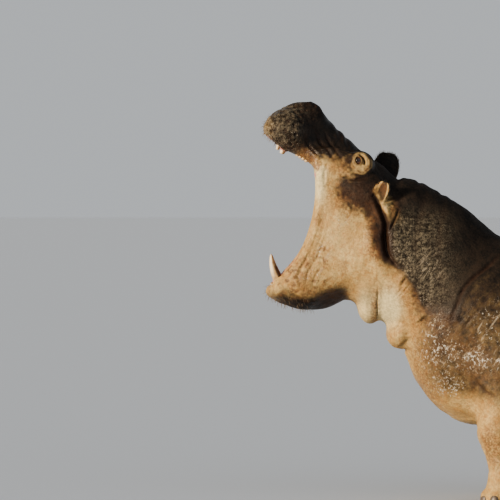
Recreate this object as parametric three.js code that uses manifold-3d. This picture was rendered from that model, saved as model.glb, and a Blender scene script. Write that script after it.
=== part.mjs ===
// A standing hippopotamus with its mouth wide open, life size, in millimetres, +Z up.
// The animal faces -X, its left side faces -Y, and its four soles stand on Z = 0.
// The flesh is one smooth solid, described by blended ellipsoids and tapered limbs. It is meshed once
// round the head and by rings along the body and legs, and parted by thin flat cuts. The teeth, eyes,
// ears, tongue, tail and toenails are pieces of their own, each set in a pocket of the flesh.
import * as THREE from 'three';
import Module from 'manifold-3d';
import { mergeVertices } from 'three/addons/utils/BufferGeometryUtils.js';

const wasm = await Module();
wasm.setup();

// ---- driving dimensions ----

const HEAD_ORIGIN = [0, 0, 1800];
const HEAD_PITCH = 36; // degrees that the snout is raised
const JAW_ORIGIN = [0, 0, 1680];
const JAW_PITCH = -33;
const CHIN_REACH = 834; // how far the chin comes forward along the jaw
const CHIN_SLOPE = 53; // degrees between the jaw's forward axis and the flat of the chin
const CHEEK_EDGE = { x: -1166, z: 1840, radius: 800 }; // the round front edge of the stretched cheeks
const MOUTH_BACK = -60; // where the open mouth ends along X
const MOUTH_HALF_WIDTH = 178;
const EYE_PLACE = [219, 186, 94]; // forward, aside and up in the head's frame
const EYE_RADIUS = 27;
const TOOTH_SHAPES = { // radius at base and tip, width against depth, and how late the tooth narrows
  lowerTusk: { base: 30, tip: 6, flatness: 0.8, taper: 2.3 },
  lowerIncisor: { base: 21, tip: 9, flatness: 1, taper: 1.6 },
  upperTusk: { base: 24, tip: 11, flatness: 0.8, taper: 1.6 },
  upperIncisor: { base: 17, tip: 9, flatness: 1, taper: 1.6 },
};
const CHEEK_TEETH = 4; // crowns in each row
const CHEEK_ROWS = {
  upper: { first: 206, spacing: 46, up: -104 }, // the first crown's place along its jaw
  lower: { first: 280, spacing: 57, up: 0 },
};
const CROWN_HEIGHT = 60;
const CROWN_WIDTH = 34;
const EAR_WIDEST = 0.58; // the share of an ear's length where it is widest
const CHEEK_CUT_HEIGHT = 1690; // the level cut between head and lower jaw
const NAPE_CUT = { x: 5, z: 1550, pitch: -20 }; // the cut between head and neck
const NECK_BASE_CUT = { x: 465, z: 1100, pitch: -14 }; // the cut between neck and trunk
const LEG_CUT_HEIGHT = 600;
const LEG_LENGTH = 215; // half the length of body that goes with each leg
const LEG_INNER = 90; // and how near that comes to the middle plane
const FORE_LEGS = { left: 740, right: 830 }; // where each leg stands along X
const HIND_LEGS = { left: 2080, right: 1980 };
const LEG_SPREAD = 290; // from the middle plane to a leg's axis
const TOE_ANGLES = [-62, -21, 21, 62];
const FORE_TOE_REACH = 88; // from a foot's middle to its toes' middles
const HIND_TOE_REACH = 84;
const NAIL_REACH = 34; // from a toe's middle to its nail's middle
const NAIL = { height: 46, topRadius: 22, footRadius: 31, middle: 36, flatness: 0.6 };
const SOLE_EDGE = 20; // how softly a sole's edge is rounded
const GAP = 0.35; // the gap that parts neighbouring pieces
const HEAD_CELL = [64, 40, 60]; // facet size on the head, finer across it, where the cheeks are thin
const HEAD_SPACE = { low: [-740, -360, 900], high: [320, 360, 2440] };
const TORSO_RAYS = 22; // facets round the body
const TORSO_REACH = 900; // farther than the body's surface is from its middle line
const LEG_RAYS = 16;
const LEG_REACH = 420;
const FAR = 2000; // past the model on every side

const SIDES = { left: -1, right: 1 }; // the sign of Y on each side of the animal

const HIDE = { color: 0x6b5a4e, roughness: 0.6, metalness: 0 };
const CHEEK = { color: 0x9a7c64, roughness: 0.6, metalness: 0 };
const EAR = { color: 0x7c5f50, roughness: 0.65, metalness: 0 };
const EYE = { color: 0x1d120b, roughness: 0.1, metalness: 0 };
const IVORY = { color: 0xd9ccab, roughness: 0.4, metalness: 0 };
const TONGUE = { color: 0xb97c74, roughness: 0.35, metalness: 0 };
const HORN = { color: 0x4c433b, roughness: 0.5, metalness: 0 };

const radians = THREE.MathUtils.degToRad;

// ---- implicit shapes: each gives a signed distance, negative inside ----

function softMin(a, b, softness) {
  const h = Math.max(softness - Math.abs(a - b), 0) / (softness || 1);
  return Math.min(a, b) - h * h * softness / 4;
}

function softMax(a, b, softness) {
  return -softMin(-a, -b, softness);
}

/** An ellipsoid, turned by pitch degrees in the side plane. */
function blob(centre, radii, pitch = 0) {
  const c = Math.cos(radians(pitch));
  const s = Math.sin(radians(pitch));
  return (x, y, z) => {
    const dx = x - centre[0];
    const dz = z - centre[2];
    const p = [dx * c + dz * s, y - centre[1], dz * c - dx * s];
    const near = Math.hypot(p[0] / radii[0], p[1] / radii[1], p[2] / radii[2]);
    const slope = Math.hypot(p[0] / radii[0] ** 2, p[1] / radii[1] ** 2, p[2] / radii[2] ** 2);
    return near * (near - 1) / Math.max(slope, 1e-6);
  };
}

/** A rounded tapered bar from one point to another; wide scales its thickness across the animal. */
function limb(start, end, startRadius, endRadius, wide = 1) {
  const a = new THREE.Vector3(start[0], start[1] / wide, start[2]);
  const along = new THREE.Vector3(end[0], end[1] / wide, end[2]).sub(a);
  const p = new THREE.Vector3();
  return (x, y, z) => {
    p.set(x, y / wide, z).sub(a);
    const t = THREE.MathUtils.clamp(p.dot(along) / along.lengthSq(), 0, 1);
    const radius = startRadius + t * (endRadius - startRadius);
    return (p.addScaledVector(along, -t).length() - radius) * Math.min(1, wide);
  };
}

/** Joins shapes into one; each is given as [shape, softness of its join]. */
function blend(parts) {
  return (x, y, z) => parts.reduce((d, [shape, softness]) => {
    const e = shape(x, y, z);
    return d === null ? e : softMin(d, e, softness);
  }, null);
}

/** The same shape on both sides of the middle plane. */
function mirrored(shape) {
  return (x, y, z) => shape(x, Math.abs(y), z);
}

/** Places a shape given as (forward, side, up) in a frame whose forward axis is raised by pitch. */
function inFrame(origin, pitch, shape) {
  const c = Math.cos(radians(pitch));
  const s = Math.sin(radians(pitch));
  return (x, y, z) => {
    const dx = x - origin[0];
    const dz = z - origin[2];
    return shape(dz * s - dx * c, y - origin[1], dx * s + dz * c);
  };
}

const inHead = (shape) => inFrame(HEAD_ORIGIN, HEAD_PITCH, mirrored(shape));
const inJaw = (shape) => inFrame(JAW_ORIGIN, JAW_PITCH, mirrored(shape));

// ---- the flesh ----

/** The raised round mound that carries the eye, with a flat outer face. */
function eyeMound(u, s, v) {
  const face = (u - 192) * 0.2 + (s - 196) * 0.97 - (v - 86) * 0.12;
  return softMax(blob([192, 120, 86], [72, 110, 70])(u, s, v), face, 22);
}

const upperHead = inHead(blend([
  [blob([40, 0, 0], [200, 170, 140]), 0],
  [limb([120, 0, 20], [560, 0, 85], 112, 110, 0.95), 90], // bridge of the nose
  [blob([640, 0, 30], [130, 180, 145]), 80], // muzzle
  [blob([655, 125, -15], [120, 105, 108]), 55], // lip pads
  [blob([600, 62, 126], [100, 62, 76]), 50], // nostril mounds
  [blob([722, 0, -30], [64, 165, 88]), 50],
  [blob([500, 88, -30], [180, 72, 74]), 70], // upper lip behind the pads
  [blob([85, 165, -25], [170, 75, 100]), 90], // cheekbones
  [eyeMound, 36],
]));

const chinPlane = (forward, up) => (forward - CHIN_REACH) * Math.sin(radians(CHIN_SLOPE))
  - (up + 28) * Math.cos(radians(CHIN_SLOPE));

const jawBody = blend([
  [blob([640, 0, -120], [180, 190, 140]), 0],
  [blob([735, 0, -50], [85, 185, 60]), 50], // lower lip
  [blob([690, 140, -48], [90, 72, 74]), 40], // tusk sockets
  [blob([540, 150, -45], [170, 58, 72]), 50],
  [limb([250, 120, -150], [600, 115, -110], 115, 105), 70],
  [limb([250, 0, -200], [600, 0, -150], 85, 85), 70],
  [blob([446, 0, -202], [185, 140, 106]), 50], // under the jaw
]);
const lowerJaw = inJaw((u, s, v) => softMax(jawBody(u, s, v), chinPlane(u, v), 70));

const jowlBody = mirrored(blend([
  [blob([-90, 60, 1560], [330, 190, 330], -20), 0],
  [blob([0, 105, 1430], [220, 175, 270], -20), 80],
  [blob([-270, 165, 1830], [230, 52, 250], 20), 90], // the stretched cheek, upper part
  [blob([-370, 165, 1440], [210, 60, 190], -35), 90],
  [blob([-300, 172, 1640], [190, 50, 260]), 60],
]));
const beforeCheekEdge = (x, z) => CHEEK_EDGE.radius - Math.hypot(x - CHEEK_EDGE.x, z - CHEEK_EDGE.z);
const jowl = (x, y, z) => softMax(jowlBody(x, y, z), beforeCheekEdge(x, z), 30);

const underPalate = inHead((u, s, v) => v + 112);
const overJawFloor = inJaw((u, s, v) => 8 - v);
const palateVault = inHead(blob([370, 0, -100], [330, 118, 62]));
const tongueBed = inJaw(blob([400, 0, 0], [330, 128, 85]));
const mouth = (x, y, z) => {
  const wall = Math.abs(y) - MOUTH_HALF_WIDTH + (x + 700) * 0.06; // narrows towards the throat
  let d = softMax(underPalate(x, y, z), overJawFloor(x, y, z), 40);
  d = softMax(d, x - MOUTH_BACK, 160);
  d = softMax(d, wall, 50);
  return softMin(softMin(d, palateVault(x, y, z), 40), tongueBed(x, y, z), 40);
};

const neck = mirrored(blend([
  [blob([50, 0, 1490], [330, 285, 375], -41), 0],
  [blob([290, 0, 1363], [330, 330, 406], -41), 100],
  [blob([532, 0, 1147], [360, 400, 440], -41), 100],
  [blob([582, 0, 967], [414, 385, 430], -60), 50],
  [blob([530, 0, 1500], [270, 190, 144], -39), 60],
  [blob([180, 0, 1760], [170, 200, 130], -25), 60], // nape behind the ears
  [blob([345, 0, 1625], [250, 190, 170], -38), 60],
  [blob([-35, 0, 1182], [90, 165, 142], -8), 30], // throat folds
  [blob([130, 0, 1000], [86, 190, 110], -20), 30],
]));

const trunk = mirrored(blend([
  [blob([1160, 0, 985], [620, 462, 480]), 0], // ribs
  [blob([1500, 0, 942], [640, 512, 500]), 150], // belly
  [blob([2010, 0, 950], [430, 420, 450]), 150], // hindquarters
  [blob([800, 200, 950], [290, 225, 430]), 120], // shoulders
  [blob([830, 0, 1190], [380, 230, 290]), 150], // withers
  [blob([620, 0, 770], [330, 310, 330]), 120], // brisket
  [blob([2190, 150, 980], [240, 235, 335]), 120], // rump
]));

function toes(x, reach) {
  return blend(TOE_ANGLES.map((angle) => {
    const centre = [
      x - reach * Math.cos(radians(angle)),
      LEG_SPREAD + reach * Math.sin(radians(angle)),
      38,
    ];
    return [blob(centre, [46, 40, 46]), 8];
  }));
}

const foreLeg = blend([
  [limb([0, 255, 780], [-10, 285, 430], 200, 148, 0.95), 0],
  [limb([-10, 285, 430], [10, 290, 170], 140, 104), 60],
  [limb([5, 290, 120], [-10, 292, 65], 104, 112), 50],
  [toes(-18, FORE_TOE_REACH), 22],
]);

const hindLeg = blend([
  [blob([40, 260, 740], [270, 190, 330], 10), 0],
  [limb([-50, 280, 560], [70, 285, 330], 160, 112), 90],
  [limb([70, 285, 330], [40, 285, 150], 108, 94), 60],
  [limb([25, 285, 110], [5, 287, 60], 98, 106), 50],
  [toes(-5, HIND_TOE_REACH), 22],
]);

const placedLeg = (leg, along, side) => (x, y, z) => leg(x - along, y * side, z);
const foreLegs = Object.entries(SIDES).map(([name, side]) => [placedLeg(foreLeg, FORE_LEGS[name], side), 70]);
const hindLegs = Object.entries(SIDES).map(([name, side]) => [placedLeg(hindLeg, HIND_LEGS[name], side), 90]);
const body = blend([[trunk, 0], [neck, 140], ...foreLegs, ...hindLegs]);
const onlyHead = blend([[upperHead, 0], [jowl, 60], [lowerJaw, 60]]);
const closedFlesh = blend([[onlyHead, 0], [body, 40]]);
const flesh = (x, y, z) => softMax(closedFlesh(x, y, z), -mouth(x, y, z), 30);

// ---- from shapes to closed meshes ----

function solidFrom(positions, indices) {
  const geometry = new THREE.BufferGeometry();
  geometry.setAttribute('position', new THREE.BufferAttribute(new Float32Array(positions), 3));
  geometry.setIndex(indices);
  return solidOf(geometry);
}

function solidOf(geometry) {
  const bare = geometry.clone();
  bare.deleteAttribute('normal');
  bare.deleteAttribute('uv');
  const merged = mergeVertices(bare, 1e-3);
  const vertProperties = new Float32Array(merged.attributes.position.array);
  const triVerts = new Uint32Array(merged.index.array);
  const build = () => new wasm.Manifold(new wasm.Mesh({ numProp: 3, vertProperties, triVerts }));
  if (build().volume() < 0) triVerts.reverse(); // turns every face outwards
  return build();
}

function geometryOf(solid) {
  const mesh = solid.getMesh();
  const geometry = new THREE.BufferGeometry();
  geometry.setAttribute('position', new THREE.BufferAttribute(new Float32Array(mesh.vertProperties), 3));
  geometry.setIndex(new THREE.BufferAttribute(new Uint32Array(mesh.triVerts), 1));
  geometry.computeVertexNormals();
  return geometry;
}

/** Moves a point onto the surface of a shape. */
function settle(shape, point, limit) {
  const h = 1;
  for (let step = 0; step < 3; step += 1) {
    const [x, y, z] = point;
    const d = shape(x, y, z);
    const slope = [
      (shape(x + h, y, z) - shape(x - h, y, z)) / (2 * h),
      (shape(x, y + h, z) - shape(x, y - h, z)) / (2 * h),
      (shape(x, y, z + h) - shape(x, y, z - h)) / (2 * h),
    ];
    const size = Math.hypot(...slope) || 1;
    const move = THREE.MathUtils.clamp(d / size, -limit, limit);
    for (let i = 0; i < 3; i += 1) point[i] -= move * slope[i] / size;
  }
  return point;
}

/** Meshes a shape inside a box on a grid: one vertex in each cell that the surface crosses. */
function gridMesh(shape, low, high, cell) {
  const count = low.map((v, i) => Math.ceil((high[i] - v) / cell[i]) + 1);
  const at = (i, j, k) => i + count[0] * (j + count[1] * k);
  const values = new Float64Array(count[0] * count[1] * count[2]);
  for (let k = 0; k < count[2]; k += 1) {
    for (let j = 0; j < count[1]; j += 1) {
      for (let i = 0; i < count[0]; i += 1) {
        const onBorder = [i, j, k].some((v, axis) => v === 0 || v === count[axis] - 1);
        const d = shape(low[0] + i * cell[0], low[1] + j * cell[1], low[2] + k * cell[2]);
        values[at(i, j, k)] = onBorder ? Math.max(d, 1) : d;
      }
    }
  }

  const positions = [];
  const vertexOf = new Map();
  const corners = [];
  for (let corner = 0; corner < 8; corner += 1) corners.push([corner & 1, (corner >> 1) & 1, corner >> 2]);
  function cellVertex(i, j, k) {
    const key = at(i, j, k);
    if (vertexOf.has(key)) return vertexOf.get(key);
    const sum = [0, 0, 0];
    let crossings = 0;
    for (let a = 0; a < 8; a += 1) {
      for (const axis of [0, 1, 2]) {
        if (corners[a][axis]) continue;
        const b = a | (1 << axis);
        const va = values[at(i + corners[a][0], j + corners[a][1], k + corners[a][2])];
        const vb = values[at(i + corners[b][0], j + corners[b][1], k + corners[b][2])];
        if ((va < 0) === (vb < 0)) continue;
        const t = va / (va - vb);
        for (const m of [0, 1, 2]) sum[m] += corners[a][m] + (m === axis ? t : 0);
        crossings += 1;
      }
    }
    const point = [i, j, k].map((v, m) => low[m] + (v + sum[m] / crossings) * cell[m]);
    settle(shape, point, cell[1] / 4);
    vertexOf.set(key, positions.length / 3);
    positions.push(...point);
    return vertexOf.get(key);
  }

  const indices = [];
  for (let k = 1; k < count[2] - 1; k += 1) {
    for (let j = 1; j < count[1] - 1; j += 1) {
      for (let i = 1; i < count[0] - 1; i += 1) {
        const inside = values[at(i, j, k)] < 0;
        for (const axis of [0, 1, 2]) {
          const next = [i, j, k];
          next[axis] += 1;
          if ((values[at(...next)] < 0) === inside) continue;
          const side = [0, 0, 0];
          const up = [0, 0, 0];
          side[(axis + 1) % 3] = 1;
          up[(axis + 2) % 3] = 1;
          const quad = [[1, 1], [0, 1], [0, 0], [1, 0]].map(([m, n]) => cellVertex(
            i - m * side[0] - n * up[0],
            j - m * side[1] - n * up[1],
            k - m * side[2] - n * up[2],
          ));
          if (!inside) quad.reverse();
          indices.push(quad[0], quad[1], quad[2], quad[0], quad[2], quad[3]);
        }
      }
    }
  }
  return solidFrom(positions, indices);
}

/** How far a ray runs inside a shape before it leaves it. */
function reachOf(shape, from, direction, limit) {
  const at = (t) => shape(from.x + t * direction.x, from.y + t * direction.y, from.z + t * direction.z);
  const stride = 15;
  let inner = 0;
  while (inner < limit && at(inner + stride) < 0) inner += stride;
  if (inner >= limit) return limit;
  let outer = inner + stride;
  for (let step = 0; step < 12; step += 1) {
    const middle = (inner + outer) / 2;
    if (at(middle) < 0) inner = middle;
    else outer = middle;
  }
  return Math.min(inner, limit);
}

/** A closed solid through rings of points. The ends are closed by fans round their middles. */
function ringSolid(rings, middles) {
  const count = rings[0].length;
  const positions = [];
  for (const ring of rings) for (const point of ring) positions.push(...point);
  const indices = [];
  for (let r = 0; r < rings.length - 1; r += 1) {
    for (let i = 0; i < count; i += 1) {
      const a = r * count + i;
      const b = r * count + (i + 1) % count;
      indices.push(a, b, b + count, a, b + count, a + count);
    }
  }
  const first = positions.length / 3;
  const last = first + 1;
  positions.push(...middles[0], ...middles[1]);
  const top = (rings.length - 1) * count;
  for (let i = 0; i < count; i += 1) {
    const next = (i + 1) % count;
    indices.push(first, next, i, last, top + i, top + next);
  }
  return solidFrom(positions, indices);
}

/** Rings of surface points round a line of stations; each station has a centre and two axes. */
function castSolid(shape, stations, rays, limit) {
  const direction = new THREE.Vector3();
  const rings = stations.map(({ centre, right, up }) => {
    const ring = [];
    for (let i = 0; i < rays; i += 1) {
      const angle = (i + 0.5) / rays * 2 * Math.PI;
      direction.copy(right).multiplyScalar(Math.cos(angle)).addScaledVector(up, Math.sin(angle));
      const t = reachOf(shape, centre, direction, limit);
      ring.push([centre.x + t * direction.x, centre.y + t * direction.y, centre.z + t * direction.z]);
    }
    return ring;
  });
  const middles = [stations[0].centre, stations[stations.length - 1].centre];
  return ringSolid(rings, middles.map((p) => [p.x, p.y, p.z]));
}

/** All of space on the far side of a plane through (x, z), square to an axis of the given pitch. */
function behindPlane({ x, z, pitch }, offset) {
  const box = new THREE.BoxGeometry(3 * FAR, 3 * FAR, 3 * FAR);
  box.translate(1.5 * FAR + offset, 0, 0);
  box.rotateY(radians(-pitch));
  box.translate(x, 0, z);
  return solidOf(box);
}

function boxSolid(low, high) {
  const box = new THREE.BoxGeometry(high[0] - low[0], high[1] - low[1], high[2] - low[2]);
  box.translate((low[0] + high[0]) / 2, (low[1] + high[1]) / 2, (low[2] + high[2]) / 2);
  return solidOf(box);
}

// ---- small pieces: grow makes the slightly larger form that cuts a piece's pocket ----

const headPoint = (u, s, v) => framePoint(HEAD_ORIGIN, HEAD_PITCH, u, s, v);
const jawPoint = (u, s, v) => framePoint(JAW_ORIGIN, JAW_PITCH, u, s, v);

function framePoint(origin, pitch, u, s, v) {
  const c = Math.cos(radians(pitch));
  const n = Math.sin(radians(pitch));
  return new THREE.Vector3(origin[0] - u * c + v * n, origin[1] + s, origin[2] + u * n + v * c);
}

/**
 * A solid lofted along a curve. At each share t of the way, section(t) gives its half width along the
 * across axis, its half thickness, and how far its two edges curl forward of its middle.
 */
function loft({ curve, across, section, steps, around }, grow) {
  const rings = [];
  for (let r = 0; r <= steps; r += 1) {
    const t = r / steps;
    const along = curve.getTangent(t);
    const centre = curve.getPoint(t);
    if (r === 0) centre.addScaledVector(along, -grow);
    if (r === steps) centre.addScaledVector(along, grow);
    const deep = new THREE.Vector3().crossVectors(along, across).normalize();
    const wide = new THREE.Vector3().crossVectors(deep, along);
    const { half, thick, curl = 0 } = section(t);
    const ring = [];
    for (let i = 0; i < around; i += 1) {
      const angle = i / around * 2 * Math.PI;
      const aside = Math.cos(angle);
      ring.push(centre.clone()
        .addScaledVector(wide, (half + grow) * aside)
        .addScaledVector(deep, curl * (1 + grow / half) ** 2 * aside ** 2 + (thick + grow) * Math.sin(angle))
        .toArray());
    }
    rings.push(ring);
  }
  const middles = [rings[0], rings[steps]].map((ring) => [0, 1, 2].map(
    (axis) => ring.reduce((sum, point) => sum + point[axis], 0) / around,
  ));
  return ringSolid(rings, middles);
}

const SIDEWAYS = new THREE.Vector3(0, 1, 0);

/** A curved tapered tooth through three points, oval in section. */
function toothSolid(points, shape, grow, steps = 3) {
  const section = (t) => {
    const radius = THREE.MathUtils.lerp(shape.base, shape.tip, t ** shape.taper);
    return { half: radius * shape.flatness, thick: radius };
  };
  const curve = new THREE.QuadraticBezierCurve3(...points);
  return loft({ curve, across: SIDEWAYS, section, steps, around: 8 }, grow);
}

/** An ellipsoid, turned by pitch degrees in the side plane. */
function ellipsoidSolid(centre, radii, pitch, segments, grow) {
  const ball = new THREE.SphereGeometry(1, segments, Math.round(segments * 0.6));
  ball.scale(radii[0] + grow, radii[1] + grow, radii[2] + grow);
  ball.rotateY(radians(pitch));
  ball.translate(centre.x, centre.y, centre.z);
  return solidOf(ball);
}

/** A blunt toenail, wider at its foot, facing -X before it is turned by yaw. */
function nailSolid(centre, yaw, grow) {
  const horn = new THREE.CylinderGeometry(
    NAIL.topRadius + grow,
    NAIL.footRadius + grow,
    NAIL.height + 2 * grow,
    5,
  );
  horn.rotateX(Math.PI / 2);
  horn.scale(NAIL.flatness, 1, 1);
  horn.rotateZ(radians(yaw));
  horn.translate(centre.x, centre.y, centre.z);
  return solidOf(horn);
}

/** A leaf-shaped ear with a round tip, its two edges curled forward. */
function earSolid({ root, tip, facing, width }, grow) {
  const curve = new THREE.LineCurve3(root, tip);
  const along = new THREE.Vector3().subVectors(tip, root).normalize();
  const across = new THREE.Vector3().crossVectors(facing, along).normalize();
  const section = (t) => {
    const below = 1 - 0.5 * (Math.max(EAR_WIDEST - t, 0) / EAR_WIDEST) ** 2;
    const above = Math.sqrt(1 - (Math.max(t - EAR_WIDEST, 0) / (1.01 - EAR_WIDEST)) ** 2.6);
    const half = width / 2 * below * above;
    return { half, thick: 9 - 3 * t, curl: 0.55 * half * (1 - 0.35 * t) };
  };
  return loft({ curve, across, section, steps: 6, around: 10 }, grow);
}

// ---- the pieces of flesh ----

function torsoStations() {
  const line = new THREE.CatmullRomCurve3([
    new THREE.Vector3(-60, 0, 1574),
    new THREE.Vector3(300, 0, 1340),
    new THREE.Vector3(760, 0, 1080),
    new THREE.Vector3(1300, 0, 960),
    new THREE.Vector3(2000, 0, 960),
    new THREE.Vector3(2436, 0, 1000),
  ]);
  const levelFrom = 1200; // the stations lean less and less up to here
  const pitchAt = (x) => NAPE_CUT.pitch * (1 - THREE.MathUtils.clamp(x / levelFrom, 0, 1));
  const shares = [0, 0.025, 0.06, 0.1, 0.14, 0.18, 0.22, 0.26, 0.3, 0.34, 0.39, 0.46, 0.54, 0.62, 0.7,
    0.78, 0.84, 0.89, 0.93, 0.96, 0.982, 0.996];
  return shares.map((share) => {
    const centre = line.getPointAt(share);
    const pitch = radians(pitchAt(centre.x));
    return {
      centre,
      right: new THREE.Vector3(0, 1, 0),
      up: new THREE.Vector3(-Math.sin(pitch), 0, Math.cos(pitch)),
    };
  });
}

function legStations(x, side) {
  const heights = [0, 16, 42, 75, 120, 190, 280, 360, 420, 455, 490, 540, 620];
  return heights.map((z) => ({
    centre: new THREE.Vector3(x, LEG_SPREAD * side, z),
    right: new THREE.Vector3(1, 0, 0),
    up: new THREE.Vector3(0, 1, 0),
  }));
}

/** The flesh near the ground: its lower edge is rounded so that each sole is a flat. */
const standing = (x, y, z) => softMax(body(x, y, z), -z - SOLE_EDGE / 4, SOLE_EDGE);

const upperLegs = blend([...foreLegs, ...hindLegs]);
const aboveLegCut = (x, y, z) => softMax(upperLegs(x, y, z), LEG_CUT_HEIGHT - 40 - z, 20);
const torsoShape = blend([[trunk, 0], [neck, 140], [aboveLegCut, 80], [onlyHead, 40]]);
const torso = castSolid(torsoShape, torsoStations(), TORSO_RAYS, TORSO_REACH);

const behindHead = behindPlane(NAPE_CUT, GAP / 2);
const notInNeck = behindPlane(NAPE_CUT, -GAP / 2);
const behindNeck = behindPlane(NECK_BASE_CUT, GAP / 2);
const notInTrunk = behindPlane(NECK_BASE_CUT, -GAP / 2);

function napeDistance(x, z) {
  const pitch = radians(NAPE_CUT.pitch);
  return (x - NAPE_CUT.x) * Math.cos(pitch) + (z - NAPE_CUT.z) * Math.sin(pitch);
}

const headBlock = gridMesh(
  (x, y, z) => Math.max(flesh(x, y, z), napeDistance(x, z) - 2 * HEAD_CELL[0]),
  HEAD_SPACE.low,
  HEAD_SPACE.high,
  HEAD_CELL,
).subtract(notInNeck);

/** The space of a leg, below the shoulder or hip; grow makes the larger space that the trunk leaves free. */
function legSpace(x, side, grow) {
  const ends = [(LEG_INNER - grow) * side, FAR * side].sort((a, b) => a - b);
  return boxSolid(
    [x - LEG_LENGTH - grow, ends[0], -FAR],
    [x + LEG_LENGTH + grow, ends[1], LEG_CUT_HEIGHT + grow],
  );
}

const fleshPieces = {
  head: headBlock.intersect(boxSolid([-FAR, -FAR, CHEEK_CUT_HEIGHT + GAP / 2], [FAR, FAR, 2 * FAR])),
  lower_jaw: headBlock.intersect(boxSolid([-FAR, -FAR, 0], [FAR, FAR, CHEEK_CUT_HEIGHT - GAP / 2])),
  neck: torso.intersect(behindHead).subtract(notInTrunk),
  trunk: torso.intersect(behindNeck),
};

for (const [name, side] of Object.entries(SIDES)) {
  const legs = { [`fore_leg_${name}`]: FORE_LEGS[name], [`hind_leg_${name}`]: HIND_LEGS[name] };
  for (const [leg, x] of Object.entries(legs)) {
    fleshPieces[leg] = castSolid(standing, legStations(x, side), LEG_RAYS, LEG_REACH)
      .intersect(legSpace(x, side, 0));
    fleshPieces.trunk = fleshPieces.trunk.subtract(legSpace(x, side, GAP));
    fleshPieces.neck = fleshPieces.neck.subtract(legSpace(x, side, GAP));
  }
}

// ---- cheek teeth: short rows of blunt crowns, one solid with the jaw that they grow from ----

function crownSolid(point, length, pitch) {
  const crown = new THREE.BoxGeometry(length, CROWN_WIDTH, CROWN_HEIGHT);
  crown.rotateY(radians(pitch));
  crown.translate(point.x, point.y, point.z);
  return solidOf(crown);
}

/** The crowns of one row, from the back forwards; placeOf turns a jaw's own coordinates into the model's. */
function addCrowns(node, row, side, placeOf, pitch) {
  for (let i = 0; i < CHEEK_TEETH; i += 1) {
    const point = placeOf(row.first + i * row.spacing, (144 - 2 * i) * side, row.up);
    fleshPieces[node] = fleshPieces[node].add(crownSolid(point, row.spacing - 5, pitch));
  }
}

for (const side of Object.values(SIDES)) {
  addCrowns('lower_jaw', CHEEK_ROWS.lower, side, jawPoint, JAW_PITCH);
  addCrowns('head', CHEEK_ROWS.upper, side, headPoint, HEAD_PITCH);
}

// ---- the pieces set in the flesh ----

const pieces = [];

/** Adds a piece and cuts its pocket in the flesh that it grows from. */
function setIn(name, material, root, make) {
  pieces.push({ name, material, solid: make(0) });
  fleshPieces[root] = fleshPieces[root].subtract(make(GAP));
}

for (const [name, side] of Object.entries(SIDES)) {
  const eyeCentre = headPoint(EYE_PLACE[0], EYE_PLACE[1] * side, EYE_PLACE[2]);
  const eyeRadii = [EYE_RADIUS, EYE_RADIUS, EYE_RADIUS];
  setIn(`eye_${name}`, EYE, 'head', (grow) => ellipsoidSolid(eyeCentre, eyeRadii, 0, 10, grow));

  setIn(`lower_tusk_${name}`, IVORY, 'lower_jaw', (grow) => toothSolid([
    jawPoint(700, 148 * side, -50), jawPoint(704, 152 * side, 60), jawPoint(655, 160 * side, 146),
  ], TOOTH_SHAPES.lowerTusk, grow, 5));
  setIn(`lower_incisor_${name}`, IVORY, 'lower_jaw', (grow) => toothSolid([
    jawPoint(690, 36 * side, -60), jawPoint(724, 38 * side, -34), jawPoint(750, 40 * side, 8),
  ], TOOTH_SHAPES.lowerIncisor, grow));
  setIn(`upper_tusk_${name}`, IVORY, 'head', (grow) => toothSolid([
    headPoint(612, 134 * side, -60), headPoint(612, 138 * side, -105), headPoint(602, 142 * side, -138),
  ], TOOTH_SHAPES.upperTusk, grow));
  setIn(`upper_incisor_${name}`, IVORY, 'head', (grow) => toothSolid([
    headPoint(654, 44 * side, -50), headPoint(652, 46 * side, -100), headPoint(636, 46 * side, -134),
  ], TOOTH_SHAPES.upperIncisor, grow));
}

const tongueCentre = jawPoint(395, 0, -68);
setIn('tongue', TONGUE, 'lower_jaw', (grow) => ellipsoidSolid(
  tongueCentre,
  [262, 98, 46],
  JAW_PITCH,
  12,
  grow,
));

const EARS = {
  left: {
    root: new THREE.Vector3(0, -196, 1772),
    tip: new THREE.Vector3(22, -246, 1884),
    facing: new THREE.Vector3(-0.35, -0.9, 0.1),
    width: 86,
  },
  right: {
    root: new THREE.Vector3(54, 150, 1862),
    tip: new THREE.Vector3(72, 214, 2055),
    facing: new THREE.Vector3(-0.2, 0.95, 0.1),
    width: 160,
  },
};
for (const [name, ear] of Object.entries(EARS)) {
  setIn(`ear_${name}`, EAR, 'head', (grow) => earSolid(ear, grow));
}

const tail = {
  curve: new THREE.CatmullRomCurve3([
    new THREE.Vector3(2380, 0, 1150),
    new THREE.Vector3(2470, 0, 1050),
    new THREE.Vector3(2506, 0, 930),
    new THREE.Vector3(2512, 0, 760),
  ]),
  across: SIDEWAYS,
  section: (t) => ({
    half: THREE.MathUtils.lerp(56, 20, t ** 0.7),
    thick: THREE.MathUtils.lerp(46, 12, t ** 0.6),
  }),
  steps: 6,
  around: 8,
};
setIn('tail', HIDE, 'trunk', (grow) => loft(tail, grow));

for (const [name, side] of Object.entries(SIDES)) {
  const feet = [
    [`fore_leg_${name}`, `fore_nail_${name}`, FORE_LEGS[name] - 18, FORE_TOE_REACH],
    [`hind_leg_${name}`, `hind_nail_${name}`, HIND_LEGS[name] - 5, HIND_TOE_REACH],
  ];
  for (const [leg, nail, x, reach] of feet) {
    TOE_ANGLES.forEach((angle, index) => {
      const out = reach + NAIL_REACH;
      const centre = new THREE.Vector3(
        x - out * Math.cos(radians(angle)),
        side * (LEG_SPREAD + out * Math.sin(radians(angle))),
        NAIL.middle,
      );
      const yaw = -angle * side;
      setIn(`${nail}_${index + 1}`, HORN, leg, (grow) => nailSolid(centre, yaw, grow));
    });
  }
}

// ---- the model ----

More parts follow.
